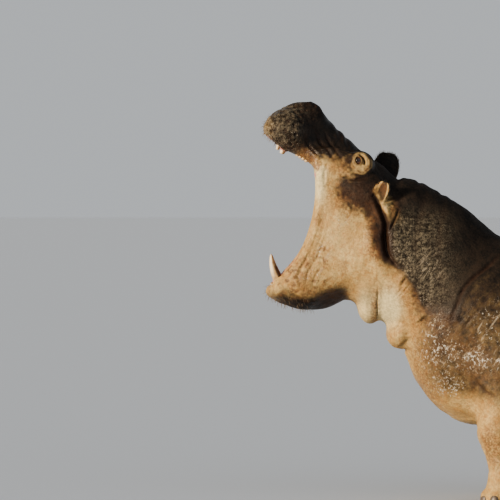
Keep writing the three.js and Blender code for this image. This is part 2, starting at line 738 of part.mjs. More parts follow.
export const hippopotamus = new THREE.Group();
const fleshMaterials = { head: CHEEK, lower_jaw: CHEEK };
for (const [name, solid] of Object.entries(fleshPieces)) {
  pieces.push({ name, material: fleshMaterials[name] || HIDE, solid });
}
for (const { name, material, solid } of pieces) {
  const mesh = new THREE.Mesh(geometryOf(solid), new THREE.MeshStandardMaterial(material));
  mesh.name = name;
  hippopotamus.add(mesh);
}

const bounds = new THREE.Box3().setFromObject(hippopotamus);
const middle = bounds.getCenter(new THREE.Vector3());
hippopotamus.position.set(-middle.x, -middle.y, -bounds.min.z);

export default hippopotamus;
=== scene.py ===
"""A life-size hippopotamus with its mouth wide open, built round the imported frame.

Shapes are worked out in body axes: millimetres, with the animal facing -X, its left side at -Y and the ground
at Z = 0. to_frame() turns them into the frame's metres. The skin is one closed surface, meshed from the same
blended forms as the solids, then wrinkled and coloured by formulas.
"""
import math

import bpy
import numpy as np
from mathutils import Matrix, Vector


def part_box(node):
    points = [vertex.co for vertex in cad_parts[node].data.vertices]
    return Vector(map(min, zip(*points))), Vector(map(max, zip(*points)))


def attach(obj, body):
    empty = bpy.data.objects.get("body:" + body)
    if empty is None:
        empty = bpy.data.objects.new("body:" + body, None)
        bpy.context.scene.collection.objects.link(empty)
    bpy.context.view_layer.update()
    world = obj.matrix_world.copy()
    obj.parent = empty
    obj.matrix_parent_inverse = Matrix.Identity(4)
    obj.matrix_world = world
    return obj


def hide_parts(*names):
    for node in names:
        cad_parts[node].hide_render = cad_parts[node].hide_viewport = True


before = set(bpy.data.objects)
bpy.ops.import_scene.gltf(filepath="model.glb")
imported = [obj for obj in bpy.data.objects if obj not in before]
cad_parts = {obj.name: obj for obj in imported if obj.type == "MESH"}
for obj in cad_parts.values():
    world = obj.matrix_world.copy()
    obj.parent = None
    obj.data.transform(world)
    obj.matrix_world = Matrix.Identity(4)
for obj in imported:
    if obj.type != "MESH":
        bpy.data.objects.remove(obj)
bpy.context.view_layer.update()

import openvdb
from mathutils import Vector

F = np.float32

# ---------------------------------------------------------------- driving dimensions, in mm

HEAD = ((0.0, 0.0, 1800.0), 36.0)  # origin and raised pitch of the head's forward axis
JAW = ((0.0, 0.0, 1680.0), -33.0)
EYE = (219.0, 186.0, 94.0)  # forward, side and up in the head's frame
EYE_RADIUS = 27.0
EYE_TILT = 46.0  # degrees that the opening between the lids is turned up at its front end
CHIN_SLOPE = 53.0
CHEEK_EDGE = (-1166.0, 1840.0, 800.0)  # x, z and radius of the round front edge of the cheeks
FORE_LEGS = {-1: 740.0, 1: 830.0}  # x of each leg by the sign of its side
HIND_LEGS = {-1: 2080.0, 1: 1980.0}
LEG_SPREAD = 290.0
TOE_ANGLES = (-62, -21, 21, 62)
TOES = {"fore": (-18, 88.0), "hind": (-5, 84.0)}  # their middle from the leg's x, and how far out they stand
SIDES = (("left", -1), ("right", 1))
UP = np.array((0.0, 0.0, 1.0))
EAR_WIDEST = 0.58  # the share of an ear's length where it is widest
# The near ear's rim is painted paler, partly as painted light, and its inside reddish, partly as painted
# shade; the far ear's paleness of 0 paints it dark as painted shade.
EARS = tuple(dict(zip(("root", "tip", "facing", "width", "pale"), ear)) for ear in (
    ((10, -208, 1766), (38, -262, 1886), (-0.35, -0.9, 0.1), 86, 0.9),
    ((54, 150, 1862), (72, 214, 2055), (-0.2, 0.95, 0.1), 160, 0.0),
))
# Each row of cheek teeth: its jaw, its direction, its gum, its first crown's place and the spacing.
CHEEK_ROWS = {"upper": (HEAD, -1, -104, 206, 46), "lower": (JAW, 1, 0, 280, 57)}
# Each tooth: its jaw, its curve, the radii of root and tip, its flatness, how late it tapers, and its rings.
TEETH = {
    "lower_tusk": (JAW, ((700, 148, -50), (704, 152, 60), (655, 160, 146)), (30, 6), 0.8, 2.3, 48),
    "lower_incisor": (JAW, ((690, 36, -60), (724, 38, -34), (750, 40, 8)), (21, 9), 1.0, 1.6, 26),
    "upper_tusk": (HEAD, ((612, 134, -60), (612, 138, -105), (602, 142, -138)), (24, 11), 0.8, 1.6, 26),
    "upper_incisor": (HEAD, ((654, 44, -50), (652, 46, -100), (636, 46, -134)), (17, 9), 1.0, 1.6, 26),
}


def cos_sin(degrees):
    return math.cos(math.radians(degrees)), math.sin(math.radians(degrees))


def unit(vector):
    return vector / np.linalg.norm(vector)


def out_of(frame_of_part, forward, side, up):
    """A point of the head's or jaw's frame, or a row of them, in body axes."""
    (ox, oy, oz), pitch = frame_of_part
    c, s = cos_sin(pitch)
    place = (ox - forward * c + up * s, oy + side, oz + forward * s + up * c)
    return np.stack(np.broadcast_arrays(*place), -1)


low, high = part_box("eye_left")
SHIFT = (low[0] + high[0]) / 2 - out_of(HEAD, *EYE)[0] * 0.001


def to_frame(points):
    return np.asarray(points, float) * 0.001 + np.array((SHIFT, 0.0, 0.0))


# ---------------------------------------------------------------- signed distances, negative inside


def smin(a, b, k):
    h = np.maximum(k - np.abs(a - b), 0) / k
    return np.minimum(a, b) - h * h * (k * 0.25)


def smax(a, b, k):
    return -smin(-a, -b, k)


def blob(p, centre, radii, pitch=0.0):
    """An ellipsoid, turned by pitch degrees in the side plane."""
    c, s = cos_sin(pitch)
    x, y, z = (p[i] - centre[i] for i in range(3))
    q = (x * c + z * s, y, z * c - x * s)
    near = np.sqrt(sum((q[i] / radii[i]) ** 2 for i in range(3)))
    slope = np.sqrt(sum((q[i] / F(radii[i] ** 2)) ** 2 for i in range(3)))
    return near * (near - 1) / np.maximum(slope, 1e-6)


def limb(p, a, b, ra, rb, wide=1.0):
    """A rounded tapered bar; wide scales its thickness across the animal."""
    a = np.array((a[0], a[1] / wide, a[2]), float)
    d = np.array((b[0], b[1] / wide, b[2]), float) - a
    q = (p[0] - F(a[0]), p[1] / wide - F(a[1]), p[2] - F(a[2]))
    t = np.clip(sum(q[i] * F(d[i]) for i in range(3)) / F(d @ d), 0, 1)
    away = np.sqrt(sum((q[i] - t * F(d[i])) ** 2 for i in range(3)))
    return (away - ra - t * (rb - ra)) * min(1.0, wide)


def blend(parts):
    """Joins (distance, softness) pairs into one shape."""
    d = parts[0][0]
    for other, softness in parts[1:]:
        d = smin(d, other, softness)
    return d


def blobs(p, rows):
    """Ellipsoids joined in turn; a row is its softness, its centre, its radii and, if turned, its pitch."""
    return blend([(blob(p, *ellipsoid), softness) for softness, *ellipsoid in rows])


def into(p, frame_of_part):
    """Coordinates (forward, side, up) in the head's or jaw's frame."""
    (ox, oy, oz), pitch = frame_of_part
    c, s = cos_sin(pitch)
    x, z = p[0] - ox, p[2] - oz
    return z * s - x * c, p[1] - F(oy), x * s + z * c


# ---------------------------------------------------------------- the forms of the flesh


def eye_mound(q):
    """The raised round mound that carries the eye, with a flat outer face."""
    face = (q[0] - 190) * 0.20 + (q[1] - 196) * 0.97 - (q[2] - 90) * 0.12
    return smax(blob(q, (190, 120, 94), (72, 110, 68)), face, 22)


def upper_head(q):
    return blend([
        (blob(q, (40, 0, 0), (200, 170, 140)), 0),
        (limb(q, (120, 0, 20), (560, 0, 85), 112, 110, 0.95), 90),
        (blob(q, (640, 0, 30), (130, 180, 145)), 80),
        (blob(q, (655, 125, -15), (120, 105, 108)), 55),
        (blob(q, (600, 62, 126), (100, 62, 76)), 50),
        (blob(q, (722, 0, -30), (64, 165, 88)), 50),
        (blob(q, (500, 88, -30), (180, 72, 74)), 70),
        (blob(q, (85, 165, -25), (170, 75, 100)), 90),
        (eye_mound(q), 36),
    ])


def lower_jaw(q):
    d = blend([
        (blob(q, (640, 0, -120), (180, 190, 140)), 0),
        (blob(q, (735, 0, -50), (85, 185, 60)), 50),
        (blob(q, (690, 140, -48), (90, 72, 74)), 40),
        (blob(q, (540, 150, -45), (170, 58, 72)), 50),
        (limb(q, (250, 120, -150), (600, 115, -110), 115, 105), 70),
        (limb(q, (250, 0, -200), (600, 0, -150), 85, 85), 70),
        (blob(q, (446, 0, -202), (185, 140, 106)), 50),
    ])
    c, s = cos_sin(CHIN_SLOPE)
    return smax(d, (q[0] - 834) * s - (q[2] + 28) * c, 70)


def jowl(q):
    d = blobs(q, [
        (0, (-90, 60, 1560), (330, 190, 330), -20),
        (80, (0, 105, 1430), (220, 175, 270), -20),
        (90, (-270, 165, 1830), (230, 52, 250), 20),
        (90, (-370, 165, 1440), (210, 60, 190), -35),
        (60, (-300, 172, 1640), (190, 50, 260)),
    ])
    x, z, radius = CHEEK_EDGE
    return smax(d, radius - np.sqrt((q[0] - x) ** 2 + (q[2] - z) ** 2), 30)


def mouth(q, head, jaw):
    """The open space between palate, cheeks and jaw floor."""
    wall = q[1] - 178 + (q[0] + 700) * 0.06
    d = smax(head[2] + 112, 8 - jaw[2], 40)
    d = smax(smax(d, q[0] + 60, 160), wall, 50)
    d = smin(d, blob(head, (370, 0, -100), (330, 118, 62)), 40)
    return smin(d, blob(jaw, (400, 0, 0), (330, 128, 85)), 40)


def neck(q):
    return blobs(q, [
        (0, (50, 0, 1490), (330, 285, 375), -41),
        (100, (290, 0, 1363), (330, 330, 406), -41),
        (100, (532, 0, 1147), (360, 400, 440), -41),
        (50, (582, 0, 967), (414, 385, 430), -60),
        (60, (530, 0, 1500), (270, 190, 144), -39),
        (60, (180, 0, 1760), (170, 200, 130), -25),
        (60, (345, 0, 1625), (250, 190, 170), -38),
        (30, (-35, 0, 1182), (90, 165, 142), -8),
        (30, (138, 0, 1000), (86, 190, 108), -20),
    ])


def trunk(q):
    return blobs(q, [
        (0, (1160, 0, 985), (620, 462, 480)),
        (150, (1500, 0, 942), (640, 512, 500)),
        (150, (2010, 0, 950), (430, 420, 450)),
        (120, (800, 200, 950), (290, 225, 430)),
        (150, (830, 0, 1190), (380, 230, 290)),
        (120, (620, 0, 770), (330, 310, 330)),
        (120, (2190, 150, 980), (240, 235, 335)),
    ])


def toes(q, foot):
    x, reach = TOES[foot]
    d = None
    for angle in TOE_ANGLES:
        c, s = cos_sin(angle)
        toe = blob(q, (x - reach * c, LEG_SPREAD + reach * s, 38), (46, 40, 46))
        d = toe if d is None else smin(d, toe, 8)
    return d


def fore_leg(q):
    return blend([
        (limb(q, (0, 255, 780), (-10, 285, 430), 200, 148, 0.95), 0),
        (limb(q, (-10, 285, 430), (10, 290, 170), 140, 104), 60),
        (limb(q, (5, 290, 120), (-10, 292, 65), 104, 112), 50),
        (toes(q, "fore"), 22),
    ])


def hind_leg(q):
    return blend([
        (blob(q, (40, 260, 740), (270, 190, 330), 10), 0),
        (limb(q, (-50, 280, 560), (70, 285, 330), 160, 112), 90),
        (limb(q, (70, 285, 330), (40, 285, 150), 108, 94), 60),
        (limb(q, (25, 285, 110), (5, 287, 60), 98, 106), 50),
        (toes(q, "hind"), 22),
    ])


def tail(q):
    """Flat and broad at its root, hanging to the hocks."""
    return blend([
        (limb(q, (2380, 0, 1150), (2470, 0, 1050), 46, 42, 1.15), 0),
        (limb(q, (2470, 0, 1050), (2506, 0, 930), 40, 30, 1.3), 25),
        (limb(q, (2506, 0, 930), (2511, 0, 775), 28, 13, 1.5), 20),
    ])


def ear_axes(ear):
    """Root, length and the along, across and facing directions of an ear."""
    root, tip = np.array(ear["root"], float), np.array(ear["tip"], float)
    length = np.linalg.norm(tip - root)
    along = (tip - root) / length
    across = unit(np.cross(np.array(ear["facing"]), along))
    return root, length, along, across, np.cross(along, across)


def ear_half_width(t, width):
    """Half the width of an ear at share t of its length: widest just above the middle, with a round tip."""
    below = 1 - 0.5 * (np.maximum(EAR_WIDEST - t, 0) / EAR_WIDEST) ** 2
    above = np.sqrt(np.maximum(1 - (np.maximum(t - EAR_WIDEST, 0) / (1.01 - EAR_WIDEST)) ** 2.6, 0.01))
    return width / 2 * np.where(t < EAR_WIDEST, below, above)


def ear_place(points, ear):
    """Whether each point is on an ear, from 0 to 1, and its shares of the ear's length and half width."""
    root, length, along, across, _ = ear_axes(ear)
    offset = points - root
    share = offset @ along / length
    near = smooth(14, 5, ear_form(tuple(points.astype(F).T), ear)) * smooth(0.0, 0.2, share)
    return near, share, np.abs(offset @ across) / ear_half_width(np.clip(share, 0, 1), ear["width"])


def ear_form(p, ear):
    """A leaf with a thick rolled rim on a short stalk, hollow towards the side it faces."""
    root, length, along, across, facing = ear_axes(ear)
    offset = [p[i] - F(root[i]) for i in range(3)]
    a, b, c = (sum(offset[i] * F(d[i]) for i in range(3)) for d in (along, across, facing))
    t = np.clip(a / F(length), 0, 1)
    half = ear_half_width(t, ear["width"])
    curl = 0.44 * half * (1 - 0.35 * t)
    side = np.clip(np.abs(b) / half, 0, 1.4)
    sheet = np.abs(c - curl * side ** 2) - (6 + 4 * side ** 3 - 2 * t)
    edge = np.maximum(np.abs(b) - half + 3, np.maximum(a - F(length) + 4, -a - 10))
    leaf = smax(sheet * 0.75, edge * 0.8, 12)
    stalk = limb(p, root - along * 10, root + along * length * 0.25 - facing * 4, 26, 14)
    return smin(leaf, stalk, 14)


def eyelids(head):
    """A rounded cover over each eyeball, the almond gap in it, and the room for the ball."""
    e = (head[0] - EYE[0], head[1] - EYE[1], head[2] - EYE[2])
    away = np.sqrt(e[0] ** 2 + e[1] ** 2 + e[2] ** 2)
    cover = away - (EYE_RADIUS + 5)
    c, s = cos_sin(EYE_TILT)
    a = e[0] * c + e[2] * s
    b = e[2] * c - e[0] * s
    upper = np.sqrt(a ** 2 + (b + 9) ** 2) - 25
    lower = np.sqrt(a ** 2 + (b - 9) ** 2) - 25
    gap = np.maximum(np.maximum(upper, lower), 4 - e[1])
    return cover, gap, away - (EYE_RADIUS + 0.5)


def nostrils(head):
    """A raised rim and a slit on top of each side of the muzzle."""
    rim = blob(head, (602, 66, 182), (54, 34, 30))
    slit = blob((head[0] - head[1] * 0.3, head[1], head[2]), (582, 68, 204), (30, 8, 34))
    return rim, slit


def gums(head, jaw):
    """Low collars of gum round the teeth."""
    return blend([
        (limb(jaw, (285, 146, -6), (470, 138, -6), 25, 25), 0),
        (limb(jaw, (700, 149, -34), (702, 150, -10), 42, 34), 10),
        (blend([
            (limb(head, (200, 140, -110), (350, 136, -110), 24, 24), 0),
            (blend([
                (limb(head, (612, 134, -80), (612, 137, -100), 32, 25), 0),
                (limb(head, (652, 45, -76), (651, 45, -92), 24, 17), 8),
            ]), 10),
        ]), 10),
    ])


def skin_form(p):
    """The whole surface of the animal's flesh."""
    q = (p[0], np.abs(p[1]), p[2])
    head = into(q, HEAD)
    jaw = into(q, JAW)
    d = blend([(upper_head(head), 0), (jowl(q), 60), (lower_jaw(jaw), 60)])
    body = blend([(trunk(q), 0), (neck(q), 140)])
    for leg, places, softness in ((fore_leg, FORE_LEGS, 70), (hind_leg, HIND_LEGS, 90)):
        for side, x in places.items():
            body = smin(body, leg((p[0] - x, p[1] * side, p[2])), softness)
    body = smin(body, tail(q), 40)
    body = smax(body, -p[2] - 5, 20)
    d = smin(d, body, 40)
    d = smax(d, -mouth(q, head, jaw), 30)
    for ear in EARS:
        d = smin(d, ear_form(p, ear), 22)
    d = smin(d, gums(head, jaw), 12)
    cover, gap, ball = eyelids(head)
    d = smax(smin(d, cover, 14), -gap, 5)
    d = np.maximum(d, -ball)
    rim, slit = nostrils(head)
    return smax(smin(d, rim, 22), -slit, 8)


# ---------------------------------------------------------------- meshing a form


def grid_lines(start, stop, zones, coarse):
    """Positions from start to stop, close together in each zone (from, to, step) and wider away from them."""
    lines = [start]
    while lines[-1] < stop:
        here = lines[-1]
        steps = [step + 0.05 * max(a - here, here - b, 0) for a, b, step in zones]
        lines.append(here + min(steps + [coarse]) * 1.0)
    return np.array(lines, F)


def mesh_form(form, xs, ys, zs):
    """Meshes a form on a grid that is only filled in near the surface. Returns points in mm and quads."""
    block = 8  # grid lines to a block
    together = 600  # blocks worked out at a time
    far = 1000
    axes = []
    for lines in (xs, ys, zs):
        extra = (-len(lines)) % block
        step = lines[-1] - lines[-2]
        axes.append(np.concatenate([lines, lines[-1] + step * np.arange(1, extra + 1, dtype=F)]))
    firsts = [lines.reshape(-1, block)[:, 0] for lines in axes]
    lasts = [lines.reshape(-1, block)[:, -1] for lines in axes]
    centres = np.meshgrid(*[(a + b) / 2 for a, b in zip(firsts, lasts)], indexing="ij")
    halves = np.meshgrid(*[(b - a) / 2 for a, b in zip(firsts, lasts)], indexing="ij")
    coarse = form(tuple(c.ravel() for c in centres)).reshape(centres[0].shape)
    near = np.abs(coarse) < np.sqrt(sum(h ** 2 for h in halves)) * 1.5 + 30
    values = np.where(coarse > 0, far, -far).astype(F)
    for axis in range(3):
        values = np.repeat(values, block, axis)
    blocks = np.argwhere(near) * block
    steps = np.arange(block)
    inner = np.meshgrid(steps, steps, steps, indexing="ij")
    for start in range(0, len(blocks), together):
        b = blocks[start:start + together]
        i, j, k = ((b[:, a, None] + inner[a].ravel()).ravel() for a in range(3))
        values[i, j, k] = form((axes[0][i], axes[1][j], axes[2][k]))
    grid = openvdb.FloatGrid(float(far))
    grid.copyFromArray(values)
    points, quads = grid.convertToQuads(0.0)
    places = [np.interp(points[:, a], np.arange(len(axes[a])), axes[a]) for a in range(3)]
    return np.stack(places, 1).astype(F), np.asarray(quads)[:, ::-1]


def slope_of(form, points, step=1.0):
    slopes = []
    for axis in range(3):
        ahead, behind = points.copy(), points.copy()
        ahead[:, axis] += step
        behind[:, axis] -= step
        slopes.append((form(tuple(ahead.T)) - form(tuple(behind.T))) / (2 * step))
    return np.stack(slopes, 1)


def settled(form, points):
    """The points moved onto the surface of the form."""
    d = np.clip(form(tuple(points.T)), -12, 12)
    slope = slope_of(form, points)
    return points - (d / np.maximum((slope ** 2).sum(1), 0.1))[:, None] * slope


# ---------------------------------------------------------------- noise, worked out at points in mm


def hashed(i, j, k, seed):
    h = (i * 73856093) ^ (j * 19349663) ^ (k * 83492791) ^ (seed * 2654435761)
    h = (h & 0xFFFFFFFF).astype(np.uint64)
    h = ((h ^ (h >> np.uint64(15))) * np.uint64(2246822519)) & np.uint64(0xFFFFFFFF)
    h = ((h ^ (h >> np.uint64(13))) * np.uint64(3266489917)) & np.uint64(0xFFFFFFFF)
    return (h ^ (h >> np.uint64(16))).astype(np.float64) / 0xFFFFFFFF


def noise(points, size, seed, stretch=(1, 1, 1)):
    """Smooth noise from -1 to 1 whose lumps are about size mm across."""
    p = points / (size * np.array(stretch))
    base = np.floor(p).astype(np.int64)
    f = p - base
    f = f * f * (3 - 2 * f)
    total = 0
    for corner in range(8):
        step = np.array([(corner >> a) & 1 for a in range(3)])
        weight = np.prod(np.where(step == 1, f, 1 - f), axis=1)
        total = total + weight * hashed(*(base + step).T, seed)
    return total * 2 - 1


def pebbles(points, size, seed):
    """Distance to the nearest of one scattered point in each cell, as a share of the cell size."""
    p = points / size
    base = np.floor(p).astype(np.int64)
    best = np.full(len(points), 9.0)
    for step in np.ndindex(3, 3, 3):
        cell = base + np.array(step) - 1
        places = [cell[:, a] + 0.15 + 0.7 * hashed(*cell.T, seed + a) for a in range(3)]
        best = np.minimum(best, sum((p[:, a] - places[a]) ** 2 for a in range(3)))
    return np.sqrt(best)


def smooth(low_edge, high_edge, value):
    t = np.clip((value - low_edge) / (high_edge - low_edge), 0, 1)
    return t * t * (3 - 2 * t)


def spot(x, z, middle_x, middle_z, size_x, size_z):
    """A soft spot in the side view: 1 at its middle, falling off by its half sizes."""
    return np.exp(-((x - middle_x) / size_x) ** 2 - ((z - middle_z) / size_z) ** 2)


def strongest(spots, x, z):
    return np.max([amount * spot(x, z, *place) for *place, amount in spots], axis=0)


def side_places(points):
    """The points with both sides folded onto one, in body axes and in the head's and the jaw's frame."""
    q = (points[:, 0], np.abs(points[:, 1]), points[:, 2])
    return q, into(q, HEAD), into(q, JAW)


# ---------------------------------------------------------------- lines in the side view, as (x, z) in mm


def along_line(line, x, z):
    """Distance to a line of points, the share of its length at the nearest place, and the side it lies on."""
    line = np.array(line, float)
    lengths = np.linalg.norm(np.diff(line, axis=0), axis=1)
    starts = np.concatenate([[0], np.cumsum(lengths)])[:-1]
    best = np.full(len(x), 1e9)
    share = np.zeros(len(x))
    side = np.zeros(len(x))
    for (ax, az), (bx, bz), start, length in zip(line[:-1], line[1:], starts, lengths):
        dx, dz = (bx - ax) / length, (bz - az) / length
        t = np.clip((x - ax) * dx + (z - az) * dz, 0, length)
        away = np.hypot(x - ax - t * dx, z - az - t * dz)
        closer = away < best
        best = np.where(closer, away, best)
        share = np.where(closer, (start + t) / lengths.sum(), share)
        side = np.where(closer, np.sign((z - az) * dx - (x - ax) * dz), side)
    return best, share, side


# Each crease is its line, its depth and its width; the skin bulges on both sides of it, and it is darkened
# along its line as painted shade.
SIDE_CREASES = (
    # behind the jowl
    ([(-32, 1792), (-6, 1745), (20, 1698), (38, 1646), (35, 1570), (38, 1490), (50, 1436)], 22, 12),
    ([(30, 1650), (32, 1590), (34, 1500), (60, 1425), (115, 1365)], 24, 34),
    ([(8, 1762), (46, 1770), (96, 1786)], 9, 6),  # under the ear
    ([(118, 1722), (96, 1668), (73, 1622), (52, 1566)], 10, 6),
    ([(60, 1746), (78, 1752), (100, 1746)], 8, 7),
    ([(35, 1471), (66, 1430), (104, 1384)], 8, 8),
    ([(160, 1330), (140, 1300), (128, 1270)], 12, 8),
    ([(92, 1210), (128, 1252), (166, 1300)], 5, 5),
    ([(112, 1206), (146, 1246), (180, 1288)], 4, 5),
    ([(226, 1054), (244, 1070), (264, 1092)], 16, 6),
    ([(-8, 1250), (-10, 1190), (-10, 1110), (-14, 1030)], 7, 5),  # behind the throat
    ([(-150, 1210), (-120, 1110), (-60, 1040)], 4, 12),
    ([(60, 1000), (96, 1020), (130, 1062)], 4, 6),
    ([(110, 890), (146, 934), (196, 962)], 4, 8),
    # before the shoulder
    ([(700, 1444), (586, 1354), (528, 1308), (481, 1249), (450, 1170), (424, 1086)], 13, 9),
    ([(562, 1126), (510, 1064), (466, 1002)], 6, 6),
    ([(646, 1250), (606, 1190), (572, 1132)], 5, 6),
    ([(277, 1829), (236, 1681), (206, 1505), (222, 1350)], 3, 18),  # round the neck
    ([(395, 1770), (348, 1593), (330, 1404), (366, 1239)], 3, 20),
    ([(-443, 2170), (-410, 2090), (-350, 2020)], 6, 8),  # behind the muzzle
    ([(-385, 2195), (-335, 2100), (-275, 2020)], 6, 8),
    ([(-322, 2170), (-270, 2080), (-205, 2000)], 5, 8),
    ([(-370, 1850), (-300, 1858), (-236, 1850)], 3, 7),
    ([(-215, 1925), (-140, 1888), (-50, 1915)], 8, 9),  # under the eye
    ([(-190, 1880), (-120, 1850), (-40, 1860)], 5, 8),
    ([(-407, 1463), (-455, 1380), (-474, 1335), (-462, 1275)], 5, 8),  # the corner of the lower lip
    ([(-372, 1430), (-416, 1350), (-428, 1290)], 4, 7),
    ([(-340, 1390), (-380, 1310), (-392, 1262)], 3, 8),
    ([(-330, 1520), (-362, 1440), (-375, 1390)], 3, 7),
    ([(-560, 1250), (-500, 1215), (-420, 1180)], 6, 9),  # along the lower jaw
    ([(-300, 1990), (-318, 1940), (-322, 1880)], 4, 7),  # behind the corner of the upper lip
    ([(540, 740), (610, 655), (700, 610)], 9, 11),  # elbows, flanks and groins
    ([(960, 800), (925, 690), (875, 600)], 15, 16),
    ([(1010, 1180), (965, 990), (950, 820)], 8, 28),
    ([(1130, 1150), (1085, 1000), (1075, 880)], 5, 24),
    ([(1720, 1120), (1760, 960), (1800, 840)], 6, 26),
    ([(1830, 930), (1880, 780), (1960, 640), (2010, 570)], 14, 18),
    ([(2330, 900), (2300, 760), (2240, 620)], 8, 18),
    ([(2280, 1180), (2330, 1060), (2350, 960)], 6, 20),
)

# These go right across the middle plane.
CROSS_CREASES = (
    ([(150, 1960), (110, 1880)], 10, 14),
    ([(262, 1930), (235, 1850)], 6, 14),
    ([(395, 1860), (372, 1780)], 6, 16),
    ([(130, 872), (190, 900)], 8, 9),
    ([(-255, 2230), (-215, 2120)], 5, 9),
    ([(-205, 2200), (-175, 2085)], 5, 9),
    ([(2395, 1230), (2360, 1150)], 8, 14),
)

# Soft swellings of the side: x, z, their half sizes and their height.
SIDE_SWELLS = (
    (-95, 1140, 75, 110, 13),  # the lobe of the throat
    (-150, 1560, 120, 200, 10),  # the chewing muscle
    (-330, 1640, 60, 190, -8),  # the hollow of the stretched cheek before it
    (44, 1716, 24, 40, 8),  # the fold of skin under the ear
    (560, 1130, 150, 190, 12),  # the point of the shoulder
    (840, 1240, 140, 160, 8),
    (1990, 1180, 170, 150, 10),  # the hip
    (1690, 1130, 120, 180, -10),
    (-480, 1290, 70, 40, 7),
)


def creased(points, normals):
    """How far each point sinks into the creases, and how deep in a crease it lies from 0 to 1, which darkens
    it as painted shade.
    """
    x, z = points[:, 0].astype(float), points[:, 2].astype(float)
    wander = 7 * noise(points, 60, 11) + 3 * noise(points, 22, 12)
    sink = np.zeros(len(points))
    crease_shade = np.zeros(len(points))
    facing = smooth(0.15, 0.55, np.abs(normals[:, 1]))
    for lines, sided in ((SIDE_CREASES, True), (CROSS_CREASES, False)):
        for line, depth, width in lines:
            reach = 20 + 5 * width
            near = np.abs(points[:, 1]) > (40 if sided else -1)
            for value, ends in ((x, [place[0] for place in line]), (z, [place[1] for place in line])):
                near &= (value > min(ends) - reach) & (value < max(ends) + reach)
            index = np.nonzero(near)[0]
            if not len(index):
                continue
            away, share, _ = along_line(line, x[index] + wander[index] * 0.6, z[index] + wander[index])
            ends = np.sin(np.pi * np.clip(share, 0.04, 0.96)) ** 0.5
            weight = ends * (facing[index] if sided else 1.0)
            pit = np.exp(-(away / width) ** 2)
            swell = np.exp(-((away - 2.1 * width) / (1.1 * width)) ** 2)
            sink[index] += weight * depth * (pit - 0.35 * swell)
            crease_shade[index] = np.maximum(crease_shade[index], weight * pit * min(1.0, depth / 12))
    for *place, height in SIDE_SWELLS:
        sink -= facing * height * spot(x, z, *place)
    return sink, crease_shade


def patch(points, where, size, seed, form):
    """A pattern that is only worked out where it shows."""
    value = np.zeros(len(points))
    index = np.nonzero(where > 0.01)[0]
    if len(index):
        value[index] = where[index] * form(points[index], size, seed)
    return value


def dimples(points, size, seed):
    return np.exp(-(pebbles(points, size, seed) / 0.28) ** 2)


def grains(points, size, seed):
    return 0.55 - pebbles(points, size, seed)


# The folds round the eye, in the head's side plane: centre, radius, depth, width, and their arc in degrees.
# Each is also darkened as painted shade.
EYE_FOLDS = (
    ((222, 75), 51.5, 15.0, 5.5, 118, 46),
    ((216, 92), 38, 2.5, 4.0, -60, 60),
    ((190, 99), 52, 5.0, 5.0, 130, 62),
    ((196, 92), 70, 2.0, 8.0, -110, 60),
)


def skin_detail(points, normals):
    """The outward move of each point, the depth of crease that darkens it as painted shade, and the pebbles
    that colour it.
    """
    p = points.astype(float)
    x, z = p[:, 0], p[:, 2]
    q, head, jaw = side_places(points)
    inside = in_mouth(points)
    outside = 1 - inside
    sink, crease_shade = creased(points, normals)
    move = -sink * outside

    muzzle = smooth(520, 600, head[0]) * smooth(-150, -110, head[2]) * outside
    pits = patch(p, muzzle, 40, 20, dimples) + 0.6 * patch(p, muzzle, 24, 21, dimples)
    move += muzzle * (3.0 * noise(p, 20, 22) + 5.0 * noise(p, 55, 25)) - 8.0 * pits
    # the dimples are darkened in their pits as painted shade
    crease_shade = np.maximum(crease_shade, 0.9 * pits)
    chin = smooth(540, 640, jaw[0]) * smooth(60, -20, jaw[2]) * outside
    move -= 3.5 * patch(p, chin, 30, 23, dimples)
    move += chin * 1.8 * noise(p, 20, 24)

    pebbled = neck_patch(points)
    grain = patch(p, pebbled, 19, 31, grains)
    move += 7.0 * grain
    grain += patch(p, muzzle, 26, 32, grains)
    rippled = smooth(-420, 0, x) * smooth(900, 500, x) * (1 - pebbled)
    move += outside * 1.6 * (noise(p, 40, 41, (0.6, 1, 1.6)) * rippled)
    move += outside * (2.4 * noise(p, 80, 42) + 1.3 * noise(p, 30, 43))
    move += smooth(500, 800, x) * 4.0 * noise(p, 150, 45, (1, 1, 1.6))
    legs = smooth(620, 480, z) * smooth(60, 110, z)
    rings = np.sin(z / 13 + 2.5 * noise(p, 110, 44, (1, 1, 0.5)))
    move -= legs * 2.6 * smooth(0.45, 0.95, rings)
    soles = smooth(60, 30, z)
    ridges = smooth(-20, -70, head[2]) * smooth(560, 480, head[0]) * smooth(150, 220, head[0]) * inside
    move -= ridges * smooth(120, 80, q[1]) * 3.5 * (0.5 + 0.5 * np.cos(head[0] / 28 * 2 * np.pi))
    move += inside * 1.5 * noise(p, 24, 46)
    behind = np.hypot(x - CHEEK_EDGE[0], z - CHEEK_EDGE[1]) - CHEEK_EDGE[2]
    stretched = outside * smooth(130, 20, behind) * smooth(1300, 1400, z) * smooth(2030, 1960, z)
    move += stretched * 1.7 * np.sin(behind / 4.2 + 2.2 * noise(p, 90, 49)) * (0.5 + 0.5 * noise(p, 50, 50))

    for ear in EARS:
        near = ear_place(points, ear)[0]
        move, crease_shade = move * (1 - near), crease_shade * (1 - near)
    outer = smooth(120, 150, q[1])
    u, v = head[0] + 2 * noise(p, 24, 47), head[2] + 2 * noise(p, 24, 48)
    for (cu, cv), radius, depth, width, middle, spread in EYE_FOLDS:
        turn = np.degrees(np.arctan2(v - cv, u - cu)) - middle
        turn = np.abs((turn + 180) % 360 - 180)  # from the middle of the arc
        ring = np.exp(-((np.hypot(u - cu, v - cv) - radius) / width) ** 2)
        ring = ring * smooth(spread, spread * 0.6, turn) * outer
        move -= depth * ring
        crease_shade = np.maximum(crease_shade, np.clip(depth / 7, 0, 1) * ring)
    return move * eye_stillness(head) * (1 - 0.8 * soles), crease_shade, grain


